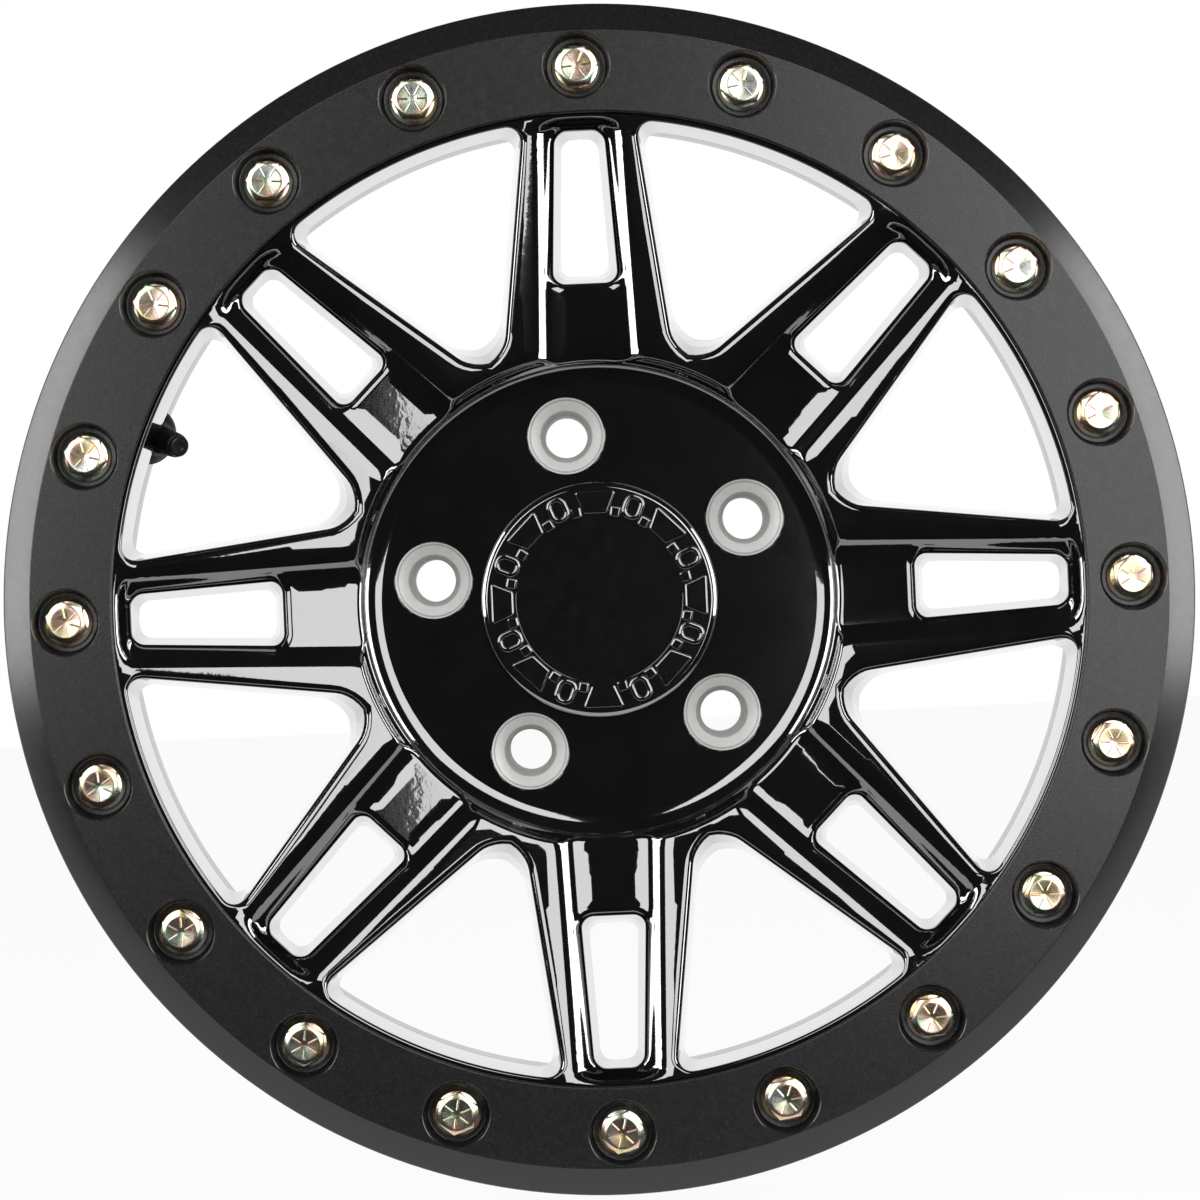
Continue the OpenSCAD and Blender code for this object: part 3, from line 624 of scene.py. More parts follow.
def hub_disc():
    """Front disc, nut seats, bore and mounting pad."""
    hub = Skin()
    lugs = [polar(LUG_CIRCLE_R, LUG_FIRST + i * TURN / LUG_N) for i in range(LUG_N)]
    rim = LUG_SEAT_R + 0.4
    seat_depth = (LUG_SEAT_R - LUG_THROAT_R) / math.tan(math.radians(30))
    hub.flat([circle(DISC_R, 192), circle(CAP_BORE_R + 1.1, 96)] + [circle(rim, 48, c) for c in lugs],
             DISC_Z, 1.0, fill=3.0,
             keep=lambda x, y: CAP_BORE_R + 1 < math.hypot(x, y) < DISC_R and apart(x, y, lugs, rim - 0.1))
    reliefs = []
    for i in range(LUG_N):
        middle = LUG_FIRST + (i + 0.5) * TURN / LUG_N
        sweep = np.linspace(middle - RELIEF_HALF, middle + RELIEF_HALF, 13)
        reliefs.append(np.vstack([polar(RELIEF_R[1], sweep), polar(RELIEF_R[0], sweep[::-1])]))

    def in_relief(x, y):
        r, a = math.hypot(x, y), math.atan2(y, x)
        step = TURN / LUG_N
        off = abs((a - LUG_FIRST) % step - step / 2)
        return RELIEF_R[0] < r < RELIEF_R[1] and off < RELIEF_HALF

    hub.flat([circle(PAD_R - 1, 192), circle(PILOT_R + 1, 96)]
             + [circle(LUG_HOLE_R + 0.5, 48, c) for c in lugs] + reliefs, 0.0, -1.0,
             lambda x, y: PILOT_R + 1 < math.hypot(x, y) < PAD_R - 1
             and apart(x, y, lugs, LUG_HOLE_R + 0.4) and not in_relief(x, y))
    for outline in reliefs:
        hub.flat([outline], RELIEF_Z, -1.0, in_relief)
        for p, q in zip(outline, np.roll(outline, -1, axis=0)):
            inward = unit(np.array([p[1] - q[1], q[0] - p[0], 0.0]))
            wall = np.array([(*p, 0), (*q, 0), (*q, RELIEF_Z), (*p, RELIEF_Z)])
            hub.face(hub.add(wall, np.tile(inward, (4, 1))))
    for c in lugs:
        seat = [(LUG_HOLE_R + 0.5, 0), (LUG_HOLE_R, 0.5), (LUG_HOLE_R, DISC_Z - seat_depth - 1.5),
                (LUG_THROAT_R, DISC_Z - seat_depth), (LUG_SEAT_R, DISC_Z - 0.3)]
        hub.spin(seat[::-1], 48, c, slot=1)
        hub.spin([(rim, DISC_Z), (LUG_SEAT_R + 0.12, DISC_Z - 0.1), (LUG_SEAT_R, DISC_Z - 0.3)],
                 48, c, sharp=60)
    bore = [(PILOT_R + 1, 0), (PILOT_R, 1), (PILOT_R, 14), (PILOT_R - 0.8, 14.8), (PILOT_R - 0.8, 18),
            (CAP_BORE_R, 18), (CAP_BORE_R, DISC_Z - 1), (CAP_BORE_R + 1.1, DISC_Z)]
    hub.spin(bore[::-1], 96)
    return hub


def turned_loop(loop, angle):
    c, s = math.cos(angle), math.sin(angle)
    return loop @ np.array([[c, s], [-s, c]])


def corner_arcs(points, radii, n=5):
    """Profile with each corner between its ends rounded to the radius given for it."""
    points = [np.array(p, float) for p in points]
    out = [tuple(points[0])]
    for a, b, c, r in zip(points, points[1:], points[2:], radii[1:]):
        u, v = unit(a - b), unit(c - b)
        half = math.acos(np.clip(u @ v, -1, 1)) / 2
        if r <= 0 or half > math.radians(89):
            out.append(tuple(b))
            continue
        start, stop = b + u * r / math.tan(half), b + v * r / math.tan(half)
        centre = b + unit(u + v) * r / math.sin(half)
        p, q = start - centre, stop - centre
        turn = math.atan2(p[0] * q[1] - p[1] * q[0], p @ q)
        out += [tuple(centre + turned_loop(p, turn * k / n)) for k in range(n + 1)]
    out.append(tuple(points[-1]))
    return out


# Barrel
STEP_R = 189.8
GUARD_R = 199.5
RIM_R = 207.4
WELL_R = 174.1
WELL_IN_R = 165.8
FLANGE_Z = 29.0
BEAD_Z = -135.8
VALVE_A = math.radians(157.5)
VALVE_R = 166.5
VALVE_Z = 4.0
VALVE_TILT = math.radians(38)
VALVE_WALL = 6.0
BOSS_R = 10.0
SPOTFACE_R = 10.5
VALVE_HOLE_R = 8.1
SLEEVE_HOLE_R = 5.7
THREAD_HOLE_R = 4.0
RING_HOLE_R = 4.4
RING_FLAT_BACK_R = 193.8


def outlined(points):
    """Closed section turned about the wheel axis into a mesh for the boolean work."""
    data = bpy.data.meshes.new("turned")
    segments = 192
    angles = np.arange(segments) * TURN / segments
    points = np.array(points)
    n = len(points)
    verts = np.vstack([np.column_stack([polar(1.0, a) * points[:, :1], points[:, 1]]) for a in angles])
    starts = [(i * n, (i + 1) % segments * n) for i in range(segments)]
    faces = [(a + j, a + (j + 1) % n, b + (j + 1) % n, b + j) for a, b in starts for j in range(n)]
    data.from_pydata(verts.tolist(), [], faces)
    return closed(data)


def closed(data):
    """Mesh with its faces turned outward, as an object in the work's millimetres."""
    work = bmesh.new()
    work.from_mesh(data)
    bmesh.ops.recalc_face_normals(work, faces=work.faces)
    work.to_mesh(data)
    work.free()
    return linked(data.name, data)


def rod(r, low, high, place, segments=64):
    """Round cutter between two levels of its own axis."""
    data = bpy.data.meshes.new("rod")
    verts = [(*p, z) for z in (low, high) for p in circle(r, segments)]
    faces = [(i, (i + 1) % segments, segments + (i + 1) % segments, segments + i) for i in range(segments)]
    faces += [tuple(range(segments)), tuple(range(2 * segments - 1, segments - 1, -1))]
    data.from_pydata(verts, [], faces)
    data.transform(place)
    return closed(data)


def cut(obj, operation, tool):
    """Applies a boolean with a tool that is thrown away."""
    change = obj.modifiers.new("cut", "BOOLEAN")
    change.operation = operation
    change.solver = "EXACT"
    change.object = tool
    depsgraph = bpy.context.evaluated_depsgraph_get()
    data = bpy.data.meshes.new_from_object(obj.evaluated_get(depsgraph))
    obj.modifiers.clear()
    obj.data = data
    bpy.data.objects.remove(tool)


VALVE_PLACE = (Matrix.Rotation(VALVE_A, 4, "Z") @ Matrix.Translation((VALVE_R, 0, VALVE_Z))
               @ Matrix.Rotation(-VALVE_TILT, 4, "Y"))


def barrel(material):
    """Barrel, ring seat and both flanges, with the valve boss and the bored holes."""
    outer = corner_arcs([
        (163.3, SEAT_Z), (STEP_R, SEAT_Z), (STEP_R, FLANGE_Z), (GUARD_R, FLANGE_Z), (GUARD_R, 22),
        (STEP_R - 1, 22), (STEP_R - 1, 13.81), (WELL_R, 2.32), (WELL_R, -40), (183.1, -104.8),
        (190.7, -110.8), (190.7, -113.4), (189.1, -117), (190.4, -132.4), (192.6, BEAD_Z), (RIM_R, BEAD_Z),
        (RIM_R, -146.4), (202.8, -148.25), (197.6, -145.8), (190.1, -142.3), (184.5, -133.8), (183, -110.8),
        (177, -102.8), (167.8, -42), (WELL_IN_R, -10), (WELL_IN_R, 0), (162.52, 20)],
        [0, 0.8, 1.5, 1.5, 2, 1, 3, 4, 6, 6, 2.5, 2, 3, 3, 2.5, 5.8, 1.5, 1.5, 4, 5, 8, 10, 10, 10, 0, 3,
         0])
    obj = outlined(outer + [(162.52, 21.8), (163.3, 22.6)])
    cut(obj, "UNION", rod(BOSS_R, -10, 0, VALVE_PLACE))
    for r, low, high in ((SPOTFACE_R, 0, 26), (VALVE_HOLE_R, -30, -VALVE_WALL), (SLEEVE_HOLE_R, -9, 3)):
        cut(obj, "DIFFERENCE", rod(r, low, high, VALVE_PLACE))
    for i in range(BOLT_N):
        place = Matrix.Rotation(i * TURN / BOLT_N, 4, "Z") @ Matrix.Translation((BOLT_CIRCLE_R, 0, 0))
        cut(obj, "DIFFERENCE", rod(THREAD_HOLE_R, 26, 44, place, 24))
    obj.data.transform(WHEEL_TURN @ Matrix.Scale(MM, 4))
    obj.name = "casting_barrel"
    obj.data.materials.clear()
    obj.data.materials.append(material)
    obj.data.polygons.foreach_set("use_smooth", [True] * len(obj.data.polygons))
    obj.data.set_sharp_from_angle(angle=math.radians(32))
    return obj


def ring_skin():
    """Clamping ring: flat face with recesses, bevel, bore and ridged back."""
    ring = Skin()
    centres = [polar(BOLT_CIRCLE_R, i * TURN / BOLT_N) for i in range(BOLT_N)]
    flat_out = RING_R - BEVEL_W + 0.1
    section = [(RING_FLAT_BACK_R, SEAT_Z), (194.6, SEAT_Z - 0.8), (195.4, SEAT_Z), (197.4, SEAT_Z),
               (198.2, SEAT_Z - 0.8), (199, SEAT_Z), (RING_R, SEAT_Z), (RING_R, FACE_Z - BEVEL_H),
               (flat_out, FACE_Z), (flat_out - 1, FACE_Z)]
    outer = corner_arcs(section, [0, 0.2, 0.2, 0.2, 0.2, 0.2, 0.9, 1.4, 0.45, 0])[:-1]
    ring.spin(outer, 240, sharp=50)
    front_r, back_r, edge = RING_BORE_R + 0.9, RING_BORE_R + 0.4, outer[-1][0]
    bore = [(front_r, FACE_Z), (RING_BORE_R, FACE_Z), (RING_BORE_R, SEAT_Z), (back_r, SEAT_Z)]
    ring.spin(corner_arcs(bore, [0, 0.8, 0.35, 0]), 240, sharp=50)
    for z, up, low, high, hole_r, fill in ((FACE_Z, 1.0, front_r, edge, RECESS_R, 4.0),
                                           (SEAT_Z, -1.0, back_r, RING_FLAT_BACK_R, RING_HOLE_R, 0.0)):
        ring.flat([circle(high, 240), circle(low, 240)] + [circle(hole_r, 48, c) for c in centres], z, up,
                  lambda x, y: low < math.hypot(x, y) < high and apart(x, y, centres, hole_r), fill=fill)
    hole = corner_arcs([(RECESS_R, FACE_Z), (RECESS_R - 0.35, FACE_Z - 0.35), (RECESS_FLOOR_R, RECESS_Z),
                        (RING_HOLE_R, RECESS_Z), (RING_HOLE_R, SEAT_Z)], [0, 0.5, 0.7, 0.3, 0])
    for c in centres:
        ring.spin(hole, 48, c, sharp=50)
    return ring


def bolt_skin():
    """Flanged hexagon bolt seated at zero, with six raised lines on its head."""
    bolt = Skin()
    bolt.spin(corner_arcs([(0.01, -20), (3.1, -20), (3.95, -19.1), (3.95, 0.01), (8.2, 0.01), (8.5, 0.3),
                           (8.5, 0.75), (8.3, 1.1), (7.2, 1.75), (5.5, 2.1)],
                          [0, 0.2, 0.2, 0.3, 0.15, 0.2, 0.2, 0.3, 0.4, 0]), 48, sharp=40)
    foot, top, apothem, top_r, slope, ease = 1.4, 7.4, 6.35, 5.35, 2.3, 0.12
    corner = TURN / 12
    spread = np.linspace(-corner, corner, 11)
    r = apothem / np.cos(spread)
    rim_z = top - (r - top_r) / slope
    for k in range(6):
        middle = k * 2 * corner
        ring = polar(np.ones(11), middle + spread)

        def row(reach, z):
            return raise_to(ring * np.reshape(reach, (-1, 1)), z)

        wall = np.tile([math.cos(middle), math.sin(middle), 0.0], (11, 1))
        edge, mid, cone = row(r, rim_z - ease), row(r - ease, rim_z + 0.09), row(0.4, 0.917)
        bolt.rows([row(r, foot), edge], [wall, wall])
        bolt.rows([edge, mid], [wall, wall * 0.55 + row(0.3, 0.75)])
        bolt.rows([mid, row(top_r + 0.1, top - 0.05), row(top_r - 0.25, top)],
                  [cone, cone * 0.5 + UP * 0.5, np.tile(UP, (11, 1))])
    bolt.spin([(top_r - 0.25, top), (4.4, top), (1.2, top - 0.35), (0.01, top - 0.4)], 48, sharp=40)
    for k in range(6):
        a = (2 * k + 1) * corner
        along, side = np.array([[math.cos(a), math.sin(a), 0.0], [-math.sin(a), math.cos(a), 0.0]])
        ends = np.array([along * 1.5 + UP * (top - 0.3), along * 4.9 + UP * (top - 0.02)])
        rows, normals = [], []
        for across, lift in ((-0.42, -0.15), (-0.26, 0.2), (0.0, 0.27), (0.26, 0.2), (0.42, -0.15)):
            rows.append(ends + side * across + UP * lift)
            normals.append(np.tile(unit(side * across * 2.2 + UP * 0.6), (2, 1)))
        bolt.rows(rows, normals)
        for end, way in ((0, -1), (1, 1)):
            bolt.face(bolt.add(np.array([row[end] for row in rows]), np.tile(along * way, (5, 1))))
    return bolt


def outward(loop):
    """Unit normals of a closed anticlockwise outline."""
    run = np.roll(loop, -1, axis=0) - np.roll(loop, 1, axis=0)
    return unit(np.column_stack([run[:, 1], -run[:, 0]]))


def soft_outline(points, radius, n=6):
    """Closed anticlockwise outline with round corners and points along its sides."""
    m = len(points)
    out = []
    for i in range(m):
        part = corner_arcs([points[i - 1], points[i], points[(i + 1) % m]], [0, radius, 0], n)
        out += part[1:-1]
    out.append(out[0])
    fine = [np.array(out[0])]
    for a, b in zip(out, out[1:]):
        a, b = np.array(a), np.array(b)
        k = max(1, int(np.linalg.norm(b - a) / OUTLINE_GAP))
        fine += [a + (b - a) * (j + 1) / k for j in range(k)]
    return np.array(fine[:-1])


def raised(skin, outline, low, high, r, hole=None):
    """A land with rounded edges, and with a hole where an inner outline is given."""
    rims = []
    for loop, way in [(outline, 1)] + ([(hole, -1)] if hole is not None else []):
        n = outward(loop) * way
        rows, normals = [], []
        for t in np.radians([0, 22, 45, 68, 90]):
            rows.append(raise_to(loop - n * r * (1 - math.cos(t)), high - r * (1 - math.sin(t))))
            normals.append(raise_to(n * math.cos(t), math.sin(t)))
        rows, normals = [raise_to(loop, low)] + rows, [normals[0]] + normals
        skin.rows([np.vstack([p, p[:1]]) for p in rows], [np.vstack([p, p[:1]]) for p in normals])
        rims.append(rows[-1][:, :2])
    skin.flat(rims, high, 1.0, lambda x, y: sum(inside(rim, x, y) for rim in rims) == 1)


def inside(loop, x, y):
    """Whether a plan point is inside a closed outline, by the sides that it crosses."""
    a, b = loop, np.roll(loop, -1, axis=0)
    cross = (a[:, 1] > y) != (b[:, 1] > y)
    rise = np.where(b[:, 1] == a[:, 1], 1e-9, b[:, 1] - a[:, 1])
    t = a[:, 0] + (y - a[:, 1]) * (b[:, 0] - a[:, 0]) / rise
    return bool(np.count_nonzero(cross & (x < t)) % 2)


CAP_R = 40.4
CAP_TOP = 35.4
CAP_SUNK = CAP_TOP - 0.25
CAP_FOOT = CAP_TOP - 0.1


def cap_skin():
    """Centre cap: plain middle, a band of pads and ovals, a rounded rim and six snap legs."""
    cap = Skin()
    edge = corner_arcs([(33.6, DISC_Z), (CAP_R, DISC_Z), (CAP_R, CAP_TOP - 1.3), (38.6, CAP_TOP),
                        (0.01, CAP_TOP)], [0, 0.2, 1.2, 0.8, 0])[:-1]
    cap.spin(edge + [(37.9, CAP_TOP), (33, CAP_TOP), (28.6, CAP_TOP), (28.5, CAP_SUNK), (20, CAP_SUNK),
                     (10, CAP_SUNK), (0.01, CAP_SUNK)], 192, sharp=40)
    cap.spin([(0.01, DISC_Z + 0.8), (32.6, DISC_Z + 0.8), (33.6, DISC_Z)], 192, sharp=20)
    pad = soft_outline([(29.4, -3.9), (37.0, -7.2), (37.0, 7.2), (29.4, 3.9)], 0.8)
    oval = soft_outline([(29.2, -3.55), (37.9, -3.55), (37.9, 3.55), (29.2, 3.55)], 3.1, 10)
    well = soft_outline([(30.8, -1.75), (36.3, -1.75), (36.3, 1.75), (30.8, 1.75)], 1.6, 8)
    for k in range(8):
        middle = (k + 0.5) * PITCH
        raised(cap, turned_loop(pad, k * PITCH), CAP_FOOT, CAP_TOP + 0.7, 0.6)
        raised(cap, turned_loop(oval, middle), CAP_FOOT, CAP_TOP + 1.05, 0.7, turned_loop(well, middle))
        for way in (-1, 1):
            ends = [polar(r, way * math.radians(a)) for r, a in ((32.4, 6.5), (32.4, 13.2), (28.8, 13.2),
                                                                 (28.8, 6.5))]
            land = soft_outline(ends[::way], 0.7)
            raised(cap, turned_loop(land, middle), CAP_FOOT, CAP_TOP + 0.7, 0.65)
    for k in range(6):
        sweep = np.linspace(math.radians(60 * k + 3), math.radians(60 * k + 27), 9)
        leg = [(34.2, DISC_Z + 0.5), (34.2, 15), (35.8, 15), (37.5, 17), (37.5, 17.8), (36, 17.8),
               (36, DISC_Z + 0.5)]
        cap.spin(leg, sweep, sharp=20)
        for a, way in ((sweep[0], -1), (sweep[-1], 1)):
            side = np.array([-math.sin(a), math.cos(a), 0.0]) * way
            rib = np.array([(r * math.cos(a), r * math.sin(a), z) for r, z in leg])
            for ids in ([0, 1, 2, 5], [0, 5, 6], [2, 3, 4, 5]):
                cap.face(cap.add(rib[ids], np.tile(side, (len(ids), 1))))
    return cap


def rubber_skin():
    """Valve rubber: bulb, groove in the wall, flared collar and stem sleeve, bored for the brass."""
    rubber = Skin()
    low, bore, neck, top = -VALVE_WALL - 0.05, 3.65, 5.65, 6.8
    profile = corner_arcs([(bore, low - 8), (5.7, low - 8), (7.1, low - 6), (7.5, low - 1), (7.1, low),
                           (neck, low), (neck, 0.05), (8.9, 0.05), (9.4, 0.65), (8.9, 1.3), (6.6, 3.0),
                           (5.3, 4.6), (4.9, top), (bore, top)],
                          [0, 0.5, 1, 2, 0.3, 0.1, 0.1, 0.2, 0.35, 0.5, 2.5, 2, 0.5, 0])
    rubber.spin(profile, 96, sharp=50)
    rubber.spin([(bore, top), (bore, low - 8)], 96)
    return rubber


def screw_cap_skin():
    """Screw cap: plain base ring, 24 ribs up a slight taper, a stepped end with fine radial marks."""
    cap = Skin()
    low, top, bore, bore_top, rib_n = 7.1, 20.1, 3.95, 17.3, 24
    base = [(bore, low), (4.9, low), (4.9, low + 1.35), (4.5, low + 1.45)]
    cap.spin(corner_arcs(base, [0, 0.3, 0.25, 0]), 96, sharp=50)
    angles = np.linspace(0, TURN, rib_n * 8 + 1)
    depth = 0.3 * (1 - (0.5 + 0.5 * np.cos(angles * rib_n)) ** 0.6)
    normals = []
    levels = ((low + 1.38, 4.55, 1), (low + 1.6, 4.75, 1), (top - 2.6, 4.25, 1), (top - 2.0, 4.12, 0.8),
              (top - 1.75, 3.85, 0.35), (top - 1.68, 3.5, 0))
    rows = np.array([raise_to(polar(r - depth * share, angles), z) for z, r, share in levels])
    for i, row in enumerate(rows):
        along = rows[min(i + 1, len(rows) - 1)] - rows[max(i - 1, 0)]
        across = np.roll(row[:-1], -1, axis=0) - np.roll(row[:-1], 1, axis=0)
        across = np.vstack([across, across[:1]])
        normal = np.cross(across, along)
        normals.append(normal / np.maximum(np.linalg.norm(normal, axis=1), 1e-9)[:, None])
    cap.rows(rows, normals)
    cap.spin(corner_arcs([(3.75, top - 1.7), (3.55, top - 0.35), (3.1, top), (1.5, top), (1.1, top - 0.35),
                          (0.01, top - 0.4)], [0, 0.3, 0.2, 0.15, 0.15, 0]), 96, sharp=60)
    marks = ((-0.09, -0.05), (0.0, 0.07), (0.09, -0.05))
    for k in range(rib_n):
        a = k * TURN / rib_n
        along, side = np.array([[math.cos(a), math.sin(a), 0], [-math.sin(a), math.cos(a), 0]])
        cap.rows([np.array([along * r + side * across + UP * (top + lift) for r in (1.7, 2.9)])
                  for across, lift in marks],
                 [np.tile(side * across * 8 + UP * 0.7, (2, 1)) for across, _ in marks])
    cap.spin([(bore, bore_top), (bore, low)], 96)
    cap.spin([(0.01, bore_top), (bore, bore_top)], 96)
    return cap


class Nodes:
    """A material made of nodes."""

    def __init__(self, name):
        self.material = bpy.data.materials.new(name)
        self.material.use_nodes = True
        self.tree = self.material.node_tree
        self.tree.nodes.clear()

    def node(self, kind, inputs=()):
        """A new node, whose inputs are given as numbers or as outputs of other nodes."""
        node = self.tree.nodes.new("ShaderNode" + kind)
        for key, value in inputs:
            if isinstance(value, bpy.types.NodeSocket):
                self.tree.links.new(value, node.inputs[key])
            else:
                node.inputs[key].default_value = value
        return node

    def show(self, shader):
        self.node("OutputMaterial", [("Surface", shader.outputs[0])])

    def math(self, kind, a, b=0.0):
        node = self.node("Math", enumerate((a, b)))
        node.operation = kind
        return node.outputs[0]


class Finish(Nodes):
    """A surface, with helpers for the textures that vary it."""

    def __init__(self, name, metallic=0.0, ior=1.5, coat=0.0, coat_ior=1.5, coat_roughness=0.03):
        super().__init__(name)
        self.place = self.node("TexCoord").outputs["Object"]
        self.body = self.node("BsdfPrincipled", [
            ("Metallic", metallic), ("IOR", ior), ("Coat Weight", coat), ("Coat IOR", coat_ior),
            ("Coat Roughness", coat_roughness)])
        self.show(self.body)

    def feed(self, value, key):
        self.tree.links.new(value, self.body.inputs[key])

    def times(self, a, b):
        return self.math("MULTIPLY", a, b)

    def length(self, a, b):
        return self.math("SQRT", self.math("ADD", self.times(a, a), self.times(b, b)))

    def parts(self):
        return self.node("SeparateXYZ", [(0, self.place)]).outputs

    def vector(self, *xyz):
        return self.node("CombineXYZ", enumerate(xyz)).outputs[0]

    def noise(self, scale, detail=4.0, roughness=0.5, at=None):
        return self.node("TexNoise", [("Vector", at or self.place), ("Scale", scale), ("Detail", detail),
                                      ("Roughness", roughness)]).outputs["Fac"]

    def ramp(self, value, stops):
        node = self.node("ValToRGB", [("Fac", value)])
        while len(node.color_ramp.elements) < len(stops):
            node.color_ramp.elements.new(0.5)
        for element, (at, colour) in zip(node.color_ramp.elements, stops):
            element.position = at
            element.color = (*colour, 1.0)
        return node.outputs["Color"]

    def paint(self, value, stops):
        self.feed(self.ramp(value, stops), "Base Color")

    def rough(self, value, low, high):
        node = self.node("MapRange", [("Value", value), ("To Min", low), ("To Max", high)])
        self.feed(node.outputs["Result"], "Roughness")

    def bump(self, value, strength, depth, coat=False):
        """Adds the relief, which completes the material."""
        node = self.node("Bump", [("Strength", strength), ("Distance", depth), ("Height", value)])
        for key in ("Normal", "Coat Normal")[:2 if coat else 1]:
            self.feed(node.outputs["Normal"], key)
        return self.material


def finish(name, tint, stops, matt, rough, grain, strength, depth, **body):
    """A material whose colour, roughness and relief each follow a noise."""
    f = Finish(name, **body)
    f.paint(f.noise(*tint), stops)
    f.rough(f.noise(*matt), *rough)
    return f.bump(f.noise(*grain), strength, depth, coat="coat" in body)


def gloss_black():
    return finish("gloss_black_casting", (60, 3),
                  [(0.3, (0.0030, 0.0032, 0.0037)), (0.7, (0.0055, 0.0057, 0.0064))],
                  (140, 4), (0.06, 0.10), (420, 2), 0.04, 0.0002,
                  ior=1.7, coat=1.0, coat_ior=2.1, coat_roughness=0.02)


def turned_black():
    """The black coat over the turned barrel, with streaks that run round it."""
    f = Finish("gloss_black_barrel", ior=1.6, coat=0.5, coat_ior=1.6, coat_roughness=0.10)
    x, y, z = f.parts()
    angle = f.math("ARCTAN2", z, x)
    around = f.vector(f.times(f.math("SINE", angle), 0.25), f.times(y, 26.0),
                      f.times(f.math("COSINE", angle), 0.25))
    streak = f.noise(9.0, 6, 0.7, around)
    f.paint(streak, [(0.32, (0.004, 0.004, 0.005)), (0.52, (0.012, 0.012, 0.014)),
                     (0.68, (0.05, 0.05, 0.055))])
    f.rough(streak, 0.12, 0.42)
    return f.bump(streak, 0.25, 0.0004, coat=True)


def satin_black():
    return finish("satin_black_ring", (900, 5, 0.65),
                  [(0.3, (0.008, 0.008, 0.009)), (0.52, (0.013, 0.013, 0.014)),
                   (0.75, (0.020, 0.020, 0.021))],
                  (300, 4), (0.20, 0.28), (1500, 3, 0.6), 0.16, 0.0002)


def zinc_plate():
    """Yellow passivated zinc, which drifts from gold through pink and green to silver."""
    return finish("zinc_plated_steel", (95, 3, 0.6),
                  [(0.32, (0.58, 0.53, 0.40)), (0.41, (0.82, 0.66, 0.36)), (0.48, (0.88, 0.60, 0.53)),
                   (0.56, (0.62, 0.74, 0.50)), (0.64, (0.82, 0.81, 0.77))],
                  (700, 3), (0.14, 0.28), (1800, 2), 0.12, 0.0001, metallic=1.0)


def machined():
    """Bare aluminium lug seats: turning marks round each hole, with painted shade that darkens the bore and
    the throat and a painted dark line just inside the rim.
    """
    f = Finish("gloss_black_casting_bare", metallic=0.5)
    x, _, z = f.parts()
    turns = f.math("DIVIDE", f.math("SUBTRACT", f.math("ARCTAN2", z, x), LUG_FIRST), TURN / LUG_N)
    off = f.times(f.math("SUBTRACT", turns, f.math("ROUND", turns)), TURN / LUG_N)
    reach = f.length(x, z)
    along = f.math("SUBTRACT", f.times(reach, f.math("COSINE", off)), LUG_CIRCLE_R * MM)
    far = f.length(f.times(reach, f.math("SINE", off)), along)
    marks = f.noise(1.0, 4, 0.75, f.vector(f.times(far, 5200.0), 0.0, 0.0))
    # band is painted shade: darker in the bore and at the throat, and a dark line just inside each seat's
    # rim
    band = f.ramp(f.times(far, 70.0), [(at, (tone,) * 3) for at, tone in (
        (0.53, 0.30), (0.61, 0.40), (0.64, 0.92), (0.83, 1.0), (0.865, 0.48), (0.90, 0.95))])
    wear = f.math("ADD", f.times(f.math("ADD", marks, f.noise(480, 5, 0.75)), 0.6), 0.3)
    f.paint(f.times(band, wear), [(0.15, (0.30, 0.30, 0.29)), (0.5, (0.58, 0.575, 0.56)),
                                  (0.80, (0.93, 0.92, 0.90)), (0.95, (0.98, 0.97, 0.96))])
    f.rough(marks, 0.38, 0.66)
    return f.bump(marks, 0.35, 0.00012)


def plastic(name, low, high, rough, grain, depth, **body):
    return finish(name, (220, 3), [(0.35, low), (0.65, high)], (380, 4), rough, (grain, 3), 0.15, depth,
                  **body)


def metal(name, low, high, rough):
    return finish(name, (500, 3), [(0.35, low), (0.65, high)], (900, 3), rough, (2500, 2), 0.15, 0.00005,
                  metallic=1.0)


hidden = (
    ("spring_steel", metal, ((0.42, 0.43, 0.45), (0.58, 0.59, 0.61), (0.2, 0.32)),
     ("cap_wire_ring", "core_spring")),
    ("stem_brass", metal, ((0.62, 0.45, 0.18), (0.76, 0.57, 0.27), (0.2, 0.35)), ("valve_stem",)),
    ("core_brass", metal, ((0.66, 0.49, 0.2), (0.8, 0.62, 0.3), (0.18, 0.3)), ("core_housing",)),
    ("gasket_plastic", plastic, ((0.5, 0.05, 0.03), (0.62, 0.08, 0.05), (0.35, 0.5), 1200, 0.0001),
     ("core_gasket",)),
    ("core_steel", metal, ((0.5, 0.5, 0.5), (0.66, 0.66, 0.65), (0.2, 0.3)), ("core_pin",)),
    ("seal_rubber", plastic, ((0.012, 0.012, 0.012), (0.022, 0.022, 0.022), (0.5, 0.65), 1500, 0.0001),
     ("core_cup", "valve_cap_seal")),
)
for name, kind, looks, nodes in hidden:
    made = kind(name, *looks)
    for node in nodes:
        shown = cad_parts[node]
        shown.data.materials.clear()
        shown.data.materials.append(made)

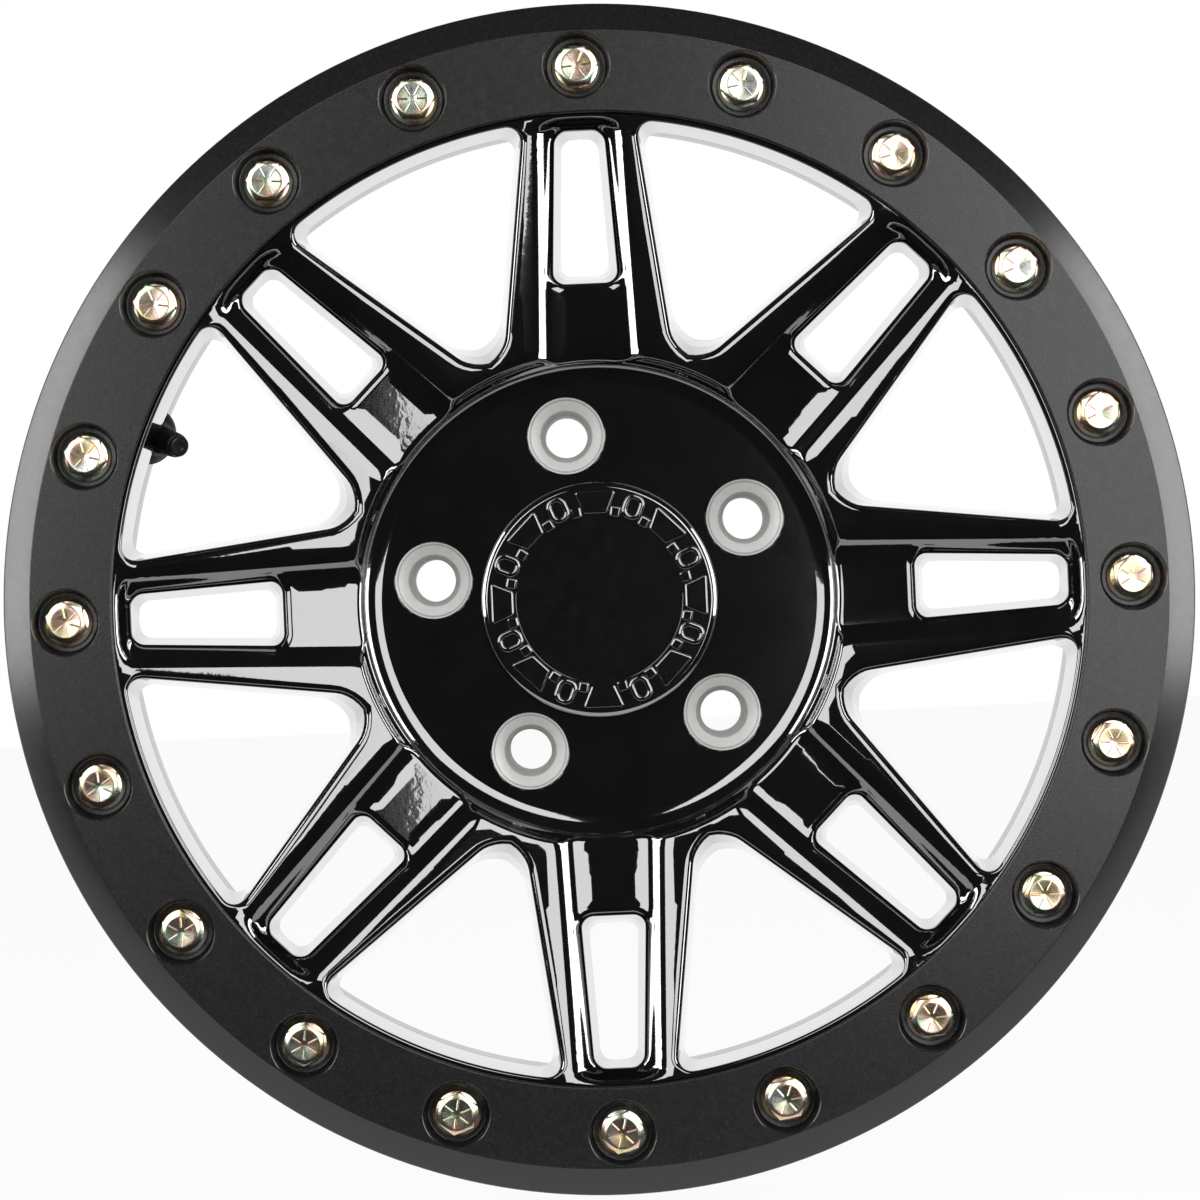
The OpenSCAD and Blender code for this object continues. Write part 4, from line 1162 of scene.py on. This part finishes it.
face = casting_face()
face.join(hub_disc())
bolts = Skin()
one_bolt = bolt_skin()
for i in range(BOLT_N):
    clock = i * TURN / BOLT_N
    bolts.join(one_bolt, i * BOLT_TWIST + clock, (*polar(BOLT_CIRCLE_R, clock), RECESS_Z))
cap_black = plastic("gloss_black_plastic", (0.003, 0.003, 0.004), (0.006, 0.006, 0.007),
                    (0.05, 0.09), 400, 0.00003, ior=2.3, coat=1.0, coat_ior=2.3)
rubber_black = plastic("black_rubber", (0.010, 0.010, 0.010), (0.020, 0.020, 0.020),
                       (0.40, 0.6), 1500, 0.0002)
screw_black = plastic("matte_black_plastic", (0.012, 0.012, 0.013), (0.024, 0.024, 0.025),
                      (0.30, 0.45), 1800, 0.00012)
face_looks = [gloss_black(), machined()]
pieces = (
    (face.mesh("casting_face", face_looks), "wheel", "wheel_casting", "gloss_black_casting"),
    (barrel(turned_black()), "wheel", "wheel_casting", "gloss_black_casting"),
    (ring_skin().mesh("clamping_ring", [satin_black()]), "wheel", "beadlock_ring", "satin_black_ring"),
    (bolts.mesh("ring_bolt_set", [zinc_plate()]), "wheel", "ring_bolts", "zinc_plated_steel"),
    (cap_skin().mesh("hub_cap", [cap_black]), "wheel", "centre_cap", "gloss_black_plastic"),
    (rubber_skin().mesh("valve_body", [rubber_black], VALVE_PLACE), "wheel", "valve_rubber",
     "black_rubber"),
    (screw_cap_skin().mesh("valve_screw_cap", [screw_black], VALVE_PLACE), "valve_cap", "valve_cap",
     "matte_black_plastic"),
)
for obj, body, node, name in pieces:
    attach(obj, body)
    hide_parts(node)


# Stage: a white floor and backdrop, a dim world, and on each side a large soft panel in front and a
# narrow strip beside the wheel
def white_stage(name, shadow):
    """White that glows where the camera or a mirror shows it, less the share of it left to shadows."""
    made = Nodes(name)
    path = made.node("LightPath").outputs
    mirrored = made.math("MAXIMUM", path["Is Glossy Ray"], path["Is Transmission Ray"])
    share = made.math("MULTIPLY", made.math("MAXIMUM", path["Is Camera Ray"], mirrored), 1 - shadow)
    paint = made.node("BsdfDiffuse", [("Color", (0.85, 0.85, 0.85, 1))])
    glow = made.node("Emission")
    made.show(made.node("MixShader", [("Fac", share), (1, paint.outputs[0]), (2, glow.outputs[0])]))
    return made.material


def sheet(name, size, place, turn, material):
    data = bpy.data.meshes.new(name)
    h = size / 2
    data.from_pydata([(-h, -h, 0), (h, -h, 0), (h, h, 0), (-h, h, 0)], [], [(0, 1, 2, 3)])
    data.materials.append(material)
    obj = linked(name, data)
    obj.location = place
    obj.rotation_euler = turn
    return obj


FLOOR_Z = -0.2078
FLOOR_SHADOW = 0.05
floor = sheet("floor", 6.0, (0, 2.90, FLOOR_Z), (0, 0, 0), white_stage("floor_white", FLOOR_SHADOW))
backdrop = sheet("backdrop", 12.0, (0, 5.8, 0), (TURN / 4, 0, 0), white_stage("backdrop_white", 0.0))

# The world is white to the camera and lights only a little
ROOM_GLOW = 0.012
scene = bpy.context.scene
world = bpy.data.worlds.new("studio")
world.use_nodes = True
sky = world.node_tree.nodes["Background"]
sky.inputs["Color"].default_value = (1, 1, 1, 1)
seen = world.node_tree.nodes.new("ShaderNodeLightPath")
level = world.node_tree.nodes.new("ShaderNodeMapRange")
level.inputs["To Min"].default_value = ROOM_GLOW
level.inputs["To Max"].default_value = 1.0
world.node_tree.links.new(seen.outputs["Is Camera Ray"], level.inputs["Value"])
world.node_tree.links.new(level.outputs["Result"], sky.inputs["Strength"])
scene.world = world


def panel(name, x, y, z, wide, tall, radiance, aim):
    """A soft panel of even radiance at a place, turned to face a point."""
    lamp = bpy.data.lights.new(name, "AREA")
    lamp.shape = "RECTANGLE"
    lamp.size = wide
    lamp.size_y = tall
    lamp.energy = radiance * math.pi * wide * tall
    obj = linked(name, lamp)
    obj.location = (x, y, z)
    obj.rotation_euler = (Vector(aim) - Vector((x, y, z))).to_track_quat("-Z", "Y").to_euler()


panel("left_panel", -1.40, -2.06, 0.89, 1.9, 1.9, 3.5, (-1.40, 0, 0.89))
panel("right_panel", 1.17, -2.06, 0.80, 1.9, 2.08, 3.5, (1.17, 0, 0.80))
for side, x, z in (("left", -1.5, 0.50), ("right", 1.5, 0.38)):
    panel(side + "_strip", x, -0.23, z, 0.5, 1.3, 8.0, (0, -0.05, z))

# Camera: level, on the wheel axis, the wheel seen turned a little anticlockwise
RING_FACE_Y = -0.056
CAMERA_D = 1.45
FRAME_W = 0.4045
ROLL = 2.5
CENTRE_PX = (599.42, 599.41)
IMAGE_PX = 1200
lens = bpy.data.cameras.new("camera")
lens.lens = lens.sensor_width * CAMERA_D / FRAME_W
lens.clip_end = 20
lens.shift_x = (IMAGE_PX / 2 - CENTRE_PX[0]) / IMAGE_PX
lens.shift_y = (CENTRE_PX[1] - IMAGE_PX / 2) / IMAGE_PX
camera = linked("camera", lens)
camera.location = (0, RING_FACE_Y - CAMERA_D, 0)
camera.rotation_euler = (Matrix.Rotation(math.radians(ROLL), 3, "Y")
                         @ Matrix.Rotation(math.radians(90), 3, "X")).to_euler()
scene.camera = camera

scene.view_settings.view_transform = "Standard"
